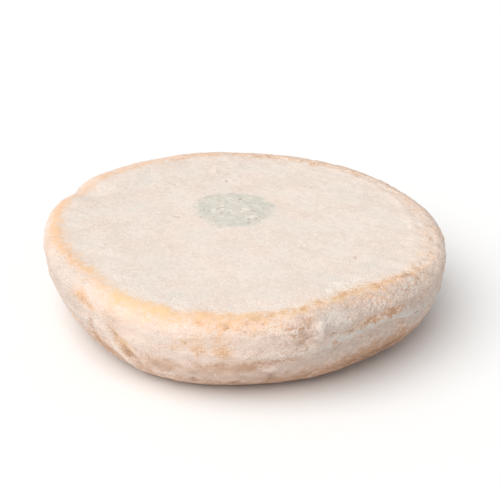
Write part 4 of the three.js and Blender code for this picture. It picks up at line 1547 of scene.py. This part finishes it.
@dataclass
class Rind:
    """The wheel's rind: its fine mesh, and how bloom and rind lie on it.

    Attributes:
        lip_reach: how far the rind has grown in over the mark.
        lip_thickness: of the rind there.
        wall_top: how far under the top the pocket's wall starts.
    """

    form: WheelForm = field(default_factory=WheelForm)
    relief: Relief = field(default_factory=Relief)
    mark: MarkOutline = field(default_factory=MarkOutline)
    stains: Stains = field(default_factory=Stains)
    finish: RindFinish = field(default_factory=RindFinish)
    columns: int = 640
    underside_rings: int = 10
    flank_rings: int = 61
    shoulder_rings: int = 24
    top_rings: int = 48
    lip_reach: float = 0.7
    lip_thickness: float = 0.02
    wall_top: float = 0.3

    def fit(self) -> Fit:
        """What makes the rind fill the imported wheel's box."""
        return self.rings().fit_to("cheese")

    def build(self, powders: Powders) -> bpy.types.Object:
        """Builds and dresses the rind.

        Args:
            powders: the shared shader groups.

        Returns:
            The finished piece.
        """
        piece = self.rings().fitted(self.fit()).to_object("rind", self.finish.material(powders))
        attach(piece, "root")
        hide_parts("cheese")
        return piece

    def rings(self) -> Rings:
        """The whole skin: underside, side, top and the mark's pocket, one ring after another.

        Returns:
            The closed surface with its values.
        """
        degrees = round_about(self.columns)
        parts = [self.underside(degrees), self.side(degrees), self.top(degrees), self.pocket(degrees)]
        points = np.concatenate([part.points for part in parts])
        values = {name: np.concatenate([part.values[name] for part in parts]) for name in parts[0].values}
        return Rings(points, values)

    def underside(self, degrees: Array) -> Rings:
        """The flat underside, from near its middle almost to its edge, browner than the side.

        Args:
            degrees: angles, as a row.

        Returns:
            Its rings.
        """
        radius = np.linspace(0.02, 0.97, self.underside_rings)[:, None] * self.form.base(degrees)
        turn = np.radians(degrees)
        points = np.stack([radius * np.cos(turn), radius * np.sin(turn), np.zeros_like(radius)], axis=-1)
        patchy = Grain(16.0, 31).at(points)
        plain = {"casein": 0.0, "blush": 0.0, "chill": 0.0, "pores": 0.0, "face": 0.0, "gold": 0.0}
        plain |= {"pebbly": 1.0, "smooth": 1.0}
        patched = {
            "cool": (0.2, 0.1), "mauve": (0.5, 0.1), "peach": (0.45, -0.1),
            "brown": (0.4, 0.12), "umber": (0.15, -0.1), "white": (0.12, -0.12),
        }
        values = {name: np.full_like(radius, value) for name, value in plain.items()}
        values |= {name: base + swing * patchy for name, (base, swing) in patched.items()}
        return Rings(points, values)

    def side(self, degrees: Array) -> Rings:
        """Flank and shoulder, with their relief and colours, from the underside's edge to the top's.

        Args:
            degrees: angles, as a row.

        Returns:
            Their rings.
        """
        flank = -(np.linspace(1.0, 0.0, self.flank_rings, endpoint=False) ** 1.15)
        shoulder = np.linspace(0.0, 1.0, self.shoulder_rings)
        skin = self.form.side(degrees, np.concatenate([flank, shoulder])[:, None])
        values, thickness = self.colours(skin)
        stood = self.relief.on_side(skin, self.form) + ease(skin.z, 0.0, 5.0) * thickness
        return self.raised(skin, stood, values)

    def top(self, degrees: Array) -> Rings:
        """The top, in rings that pass from its edge's outline to the lip's round the mark.

        Args:
            degrees: angles, as a row.

        Returns:
            Its rings.
        """
        share = np.append(np.linspace(0.0, 1.0, self.top_rings)[1:-1], (0.9985, 1.0))[:, None]
        turn = np.radians(degrees)
        edge = self.form.top_edge(degrees)
        inner_x, inner_y = self.lip(degrees)
        x = (1.0 - share) * edge * np.cos(turn) + share * inner_x
        y = (1.0 - share) * edge * np.sin(turn) + share * inner_y
        skin = self.form.level(x, y)
        values, thickness = self.colours(skin)
        away = ease(self.mark.outside(x, y), 0.0, 6.0)
        bloom = away * thickness + (1.0 - away) * self.lip_thickness
        return self.raised(skin, self.relief.on_top(skin) + bloom, values)

    def lip(self, degrees: Array) -> tuple[Array, Array]:
        """The edge of the rind that has grown in over the mark, by a width that noise makes uneven.

        Args:
            degrees: angles round the mark.

        Returns:
            Places along X and Y.
        """
        turn, radius = np.radians(degrees), self.mark.radius
        place = np.stack([radius * np.cos(turn), radius * np.sin(turn), np.zeros_like(turn)], axis=-1)
        growth = 0.55 * Grain(5.0, 51).at(place) + 0.45 * Grain(2.2, 52).at(place)
        grown = self.lip_reach * np.clip(1.0 + 0.3 * growth, 0.75, 2.0)
        x, y = self.mark.ring(degrees)
        return x - grown * np.cos(turn), y - grown * np.sin(turn)

    def pocket(self, degrees: Array) -> Rings:
        """The mark's pocket: the lip's underside, the wall and the floor, which is near its middle at last.

        Args:
            degrees: angles, as a row.

        Returns:
            Its rings.
        """
        tip = self.form.level(*self.lip(degrees))
        wall = self.form.level(*self.mark.ring(degrees, inset=-self.mark.gap))
        rows = [
            np.stack([tip.x, tip.y, tip.z + self.relief.on_top(tip) + 0.6 * self.lip_thickness], axis=-1),
            np.stack([wall.x, wall.y, wall.z + self.relief.on_top(wall) - self.wall_top], axis=-1),
        ]
        for share in (1.0, 0.66, 0.33, 0.04):
            x, y = self.mark.ring(degrees, share, -self.mark.gap * share)
            rows.append(np.stack([x, y, np.full_like(x, self.form.height - self.mark.depth)], axis=-1))
        points = np.concatenate(rows)
        plain = dict.fromkeys(("blush", "chill", "pores", *(wash.value for wash in Wash)), 0.0)
        plain |= {"casein": 0.6, "face": 1.0, "pebbly": 1.0, "smooth": 1.0}
        return Rings(points, {name: np.full(points.shape[:2], value) for name, value in plain.items()})

    @staticmethod
    def raised(skin: Skin, stood: Array, values: Values) -> Rings:
        """Moves the skin out along its own way by its relief.

        Args:
            skin: the smooth skin.
            stood: how far it stands out.
            values: the values that the rings carry.

        Returns:
            The rings.
        """
        turn, level = np.radians(skin.degrees), stood * skin.outward
        x, y = skin.x + level * np.cos(turn), skin.y + level * np.sin(turn)
        return Rings(np.stack([x, y, skin.z + stood * skin.upward], axis=-1), values)

    def colours(self, skin: Skin) -> tuple[Values, Array]:
        """The named values of some skin, and the thickness that the bloom adds to it."""
        painting = RindPainting(self, skin)
        return painting.values(), painting.thickness


@dataclass
class CaseinMark:
    """The casein mark: a thin disc with a dimpled face, pale crumbs pressed into it and short cracks.

    Attributes:
        fit: the rind's, so that the mark keeps level with it.
        foot: how far the disc's foot is above its pocket's floor.
        edge_round: how far down the face's rounded edge goes.
        dimple_pitch: from one dimple to the next.
        crumb_cover: how much crumb each millimetre of a crumb's rise shows.
    """

    fit: Fit
    form: WheelForm = field(default_factory=WheelForm)
    relief: Relief = field(default_factory=Relief)
    outline: MarkOutline = field(default_factory=MarkOutline)
    finish: CaseinFinish = field(default_factory=CaseinFinish)
    columns: int = 300
    face_rings: int = 80
    foot: float = 0.02
    edge_round: float = 0.25
    dimple_pitch: float = 6.5
    crumb_cover: float = 5.5
    crumbs: tuple[Spot, ...] = each(
        Spot,
        (-10.2, 9.6, 1.2, 0.9, 60, 0.14), (-7.1, 12.2, 1.2, 0.7, 30, 0.14), (-6.9, 9.8, 1, 0.8, 60, 0.1),
        (1.4, 10.1, 1.5, 1.3, 2, 0.16), (-4.8, 19.4, 2.6, 1.2, 2, 0.06), (-3.9, 8.2, 1.5, 1, 2, 0.08),
        (-11.9, 17.7, 1.4, 1, 2, 0.05), (3.9, 4.7, 1.5, 1.1, 10, 0.12), (-0.5, 15.1, 1.8, 1.1, 2, 0.08),
        (3.4, 20.2, 1.7, 1, 15, 0.04), (9.6, 14.2, 0.9, 0.8, -11, 0.08), (-7, 4.8, 1.3, 0.8, 45, 0.04),
        (0.2, 8.2, 1, 0.8, 76, 0.1),
    )
    cracks: tuple[Spot, ...] = each(
        Spot,
        (-8.7, 10.2, 1.2, 0.28, 60, -0.3), (-7.1, 11.5, 1.1, 0.26, 24, -0.3),
        (-12.8, 20.1, 1.2, 0.34, 17, -0.22), (-0.6, 19, 1.2, 0.3, 43, -0.24),
        (-0.8, 18.2, 0.5, 0.45, 0, -0.2), (-15.4, 17, 1, 0.3, 46, -0.14), (-13.6, 9.8, 0.5, 0.6, 0, -0.2),
        (-11.9, 8.4, 0.5, 0.5, 0, -0.14), (-10, 3.9, 0.45, 0.45, 0, -0.14),
        (-7.6, 6.7, 0.9, 0.3, 19, -0.18), (-4.6, 7.7, 0.45, 0.45, 0, -0.14),
        (-0.5, 9.7, 0.45, 0.45, 0, -0.12), (4.6, 15.6, 0.45, 0.45, 0, -0.14),
        (4, 9.5, 1, 0.34, -5, -0.26), (2.9, 6.5, 1.3, 0.28, -3, -0.22), (2.4, 2.7, 0.8, 0.5, 50, -0.26),
        (2.4, -0.1, 0.9, 0.45, 40, -0.26), (5.1, 3.6, 0.6, 0.5, 26, -0.26),
        (6.3, 4.6, 0.5, 0.45, 47, -0.22), (-14.6, 3.8, 0.5, 0.5, 42, -0.2),
    )

    def build(self, powders: Powders) -> bpy.types.Object:
        """Builds and dresses the mark.

        Args:
            powders: the shared shader groups.

        Returns:
            The finished piece.
        """
        piece = self.rings().fitted(self.fit).to_object("casein_mark_face", self.finish.material(powders))
        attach(piece, "root")
        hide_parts("casein_mark")
        return piece

    def rings(self) -> Rings:
        """The disc: a flat foot, an upright edge, a rounded rim and the face.

        Returns:
            The closed surface with its values.
        """
        degrees = round_about(self.columns)
        floor = self.form.height - self.outline.depth + self.foot
        rows = []
        for share in (0.05, 0.5, 1.0):
            x, y = self.outline.ring(degrees, share)
            rows.append(np.stack([x, y, np.full_like(x, floor)], axis=-1))
        shares = np.linspace(1.0 - self.edge_round / self.outline.radius, 0.02, self.face_rings)
        rounded = 0.3 * self.edge_round
        rim = [(1.0, 0.0, self.edge_round), (1.0, rounded, rounded)]
        for share, inset, under in (*rim, *((share, 0.0, 0.0) for share in shares)):
            x, y = self.outline.ring(degrees, share, inset)
            rows.append(np.stack([x, y, self.face(x, y) - under], axis=-1))
        points = np.concatenate(rows)
        x, y = points[..., 0], points[..., 1]
        crumbs = sum(self.crumb_cover * crumb.amount * crumb.at(x, y) for crumb in self.crumbs)
        values = face_values(points) | {"casein": self.outline.casein(x, y)}
        values["crumb"] = 0.12 + 0.1 * Grain(4.6, 61).at(points) + crumbs
        values["crack"] = sum(crack.at(x, y) for crack in self.cracks)
        values["blush"] += self.outline.blush(x, y)
        return Rings(points, values)

    def face(self, x: Array, y: Array) -> Array:
        """Height of the mark's face.

        It is the top's own height, with two crossed sines for dimples, fine grains, and each crumb's or
        crack's rise over its soft ellipse, all of which die out at the edge.

        Args:
            x: places along X.
            y: places along Y.

        Returns:
            Heights.
        """
        skin = self.form.level(x, y)
        turns = 2.0 * np.pi / self.dimple_pitch
        dimples = np.sin(turns * (x + 0.4 * y)) * np.cos(turns * y)
        pressed = sum(spot.amount * spot.at(x, y) for spot in (*self.crumbs, *self.cracks))
        lumps = 0.03 * Grain(2.6, 62).at(skin.points())
        inside = ease(-self.outline.outside(x, y), 0.6, 3.0)
        return skin.z + self.relief.on_top(skin) + inside * (0.05 + 0.04 * dimples + pressed + lumps)


# The stage


@dataclass
class Studio:
    """A pale floor, soft light and the camera at the photograph's angle.

    Attributes:
        elevation: the camera's, above level, in degrees.
        sensor: its sensor's width.
        nearest: how near to it things still show.
        floor_reach: half the floor's width, in metres.
        sun_width: how wide the sun looks, in degrees, which makes its shadows soft.
    """

    aim: Row = (2.44, 37.94, 0.0)
    elevation: float = 27.115
    distance: float = 450.0
    lens: float = 83.28
    sensor: float = 36.0
    nearest: float = 10.0
    floor_reach: float = 2.0
    floor_colour: Paint = linear(244, 244, 244)
    floor_roughness: float = 0.95
    floor_gloss: float = 0.1
    sun_from: float = -142.0
    sun_height: float = 57.0
    sun_width: float = 64.0
    sun_strength: float = 2.25
    sun_colour: Row = (1.0, 0.985, 0.955)
    sky: float = 0.54
    sky_colour: Row = (0.97, 0.985, 1.0, 1.0)

    def build(self) -> None:
        """Sets up floor, lights and camera."""
        for part in (self.floor, self.sun, self.world, self.camera):
            part()
        bpy.context.scene.view_settings.view_transform = "Standard"

    def floor(self) -> None:
        """The flat floor that the wheel lies on."""
        reach = self.floor_reach
        mesh = bpy.data.meshes.new("floor")
        corners = [(-reach, -reach, 0.0), (reach, -reach, 0.0), (reach, reach, 0.0), (-reach, reach, 0.0)]
        mesh.from_pydata(corners, [], [(0, 1, 2, 3)])
        paper = bpy.data.materials.new("floor_paper")
        paper.use_nodes = True
        inputs = paper.node_tree.nodes["Principled BSDF"].inputs
        inputs["Base Color"].default_value = self.floor_colour
        inputs["Roughness"].default_value = self.floor_roughness
        inputs["Specular IOR Level"].default_value = self.floor_gloss
        mesh.materials.append(paper)
        made = linked("floor", mesh)

    def sun(self) -> None:
        """A broad, slightly warm sun from the front left."""
        data = bpy.data.lights.new("key", "SUN")
        data.energy = self.sun_strength
        data.angle = math.radians(self.sun_width)
        data.color = self.sun_colour
        turn, lift = math.radians(self.sun_from), math.radians(self.sun_height)
        away = np.array([math.cos(lift) * math.cos(turn), math.cos(lift) * math.sin(turn), math.sin(lift)])
        self.aim_at(linked("key", data), away, np.zeros(3))

    def world(self) -> None:
        """An even pale sky."""
        sky = bpy.data.worlds.new("studio")
        sky.use_nodes = True
        back = sky.node_tree.nodes["Background"].inputs
        back["Color"].default_value = self.sky_colour
        back["Strength"].default_value = self.sky
        bpy.context.scene.world = sky

    def camera(self) -> None:
        """The camera, in front of the wheel and above it."""
        data = bpy.data.cameras.new("camera")
        data.lens = self.lens
        data.sensor_width = self.sensor
        data.clip_start = self.nearest * MM
        lift, aim = math.radians(self.elevation), np.array(self.aim) * MM
        back = np.array([0.0, -math.cos(lift), math.sin(lift)])
        made = linked("camera", data)
        self.aim_at(made, aim + back * self.distance * MM, aim)
        bpy.context.scene.camera = made

    @staticmethod
    def aim_at(thing: bpy.types.Object, place: Array, target: Array) -> None:
        """Puts a light or a camera at a place and turns it to a target.

        Args:
            thing: the light or camera.
            place: where it stands, in metres.
            target: what it looks at, in metres.
        """
        thing.location = place
        way = Vector(tuple(float(part) for part in target - place))
        thing.rotation_euler = way.to_track_quat("-Z", "Y").to_euler()


def main() -> None:
    """Builds the studio, then the pieces, and reports each."""
    logging.basicConfig(level=logging.INFO, format="%(name)s: %(message)s")
    Studio().build()
    powders = Powders()
    rind = Rind()
    for sub_assembly in (rind, CaseinMark(rind.fit())):
        piece = sub_assembly.build(powders)
        log.info("%s has %d faces", piece.name, len(piece.data.polygons))


if __name__ == "__main__":
    main()
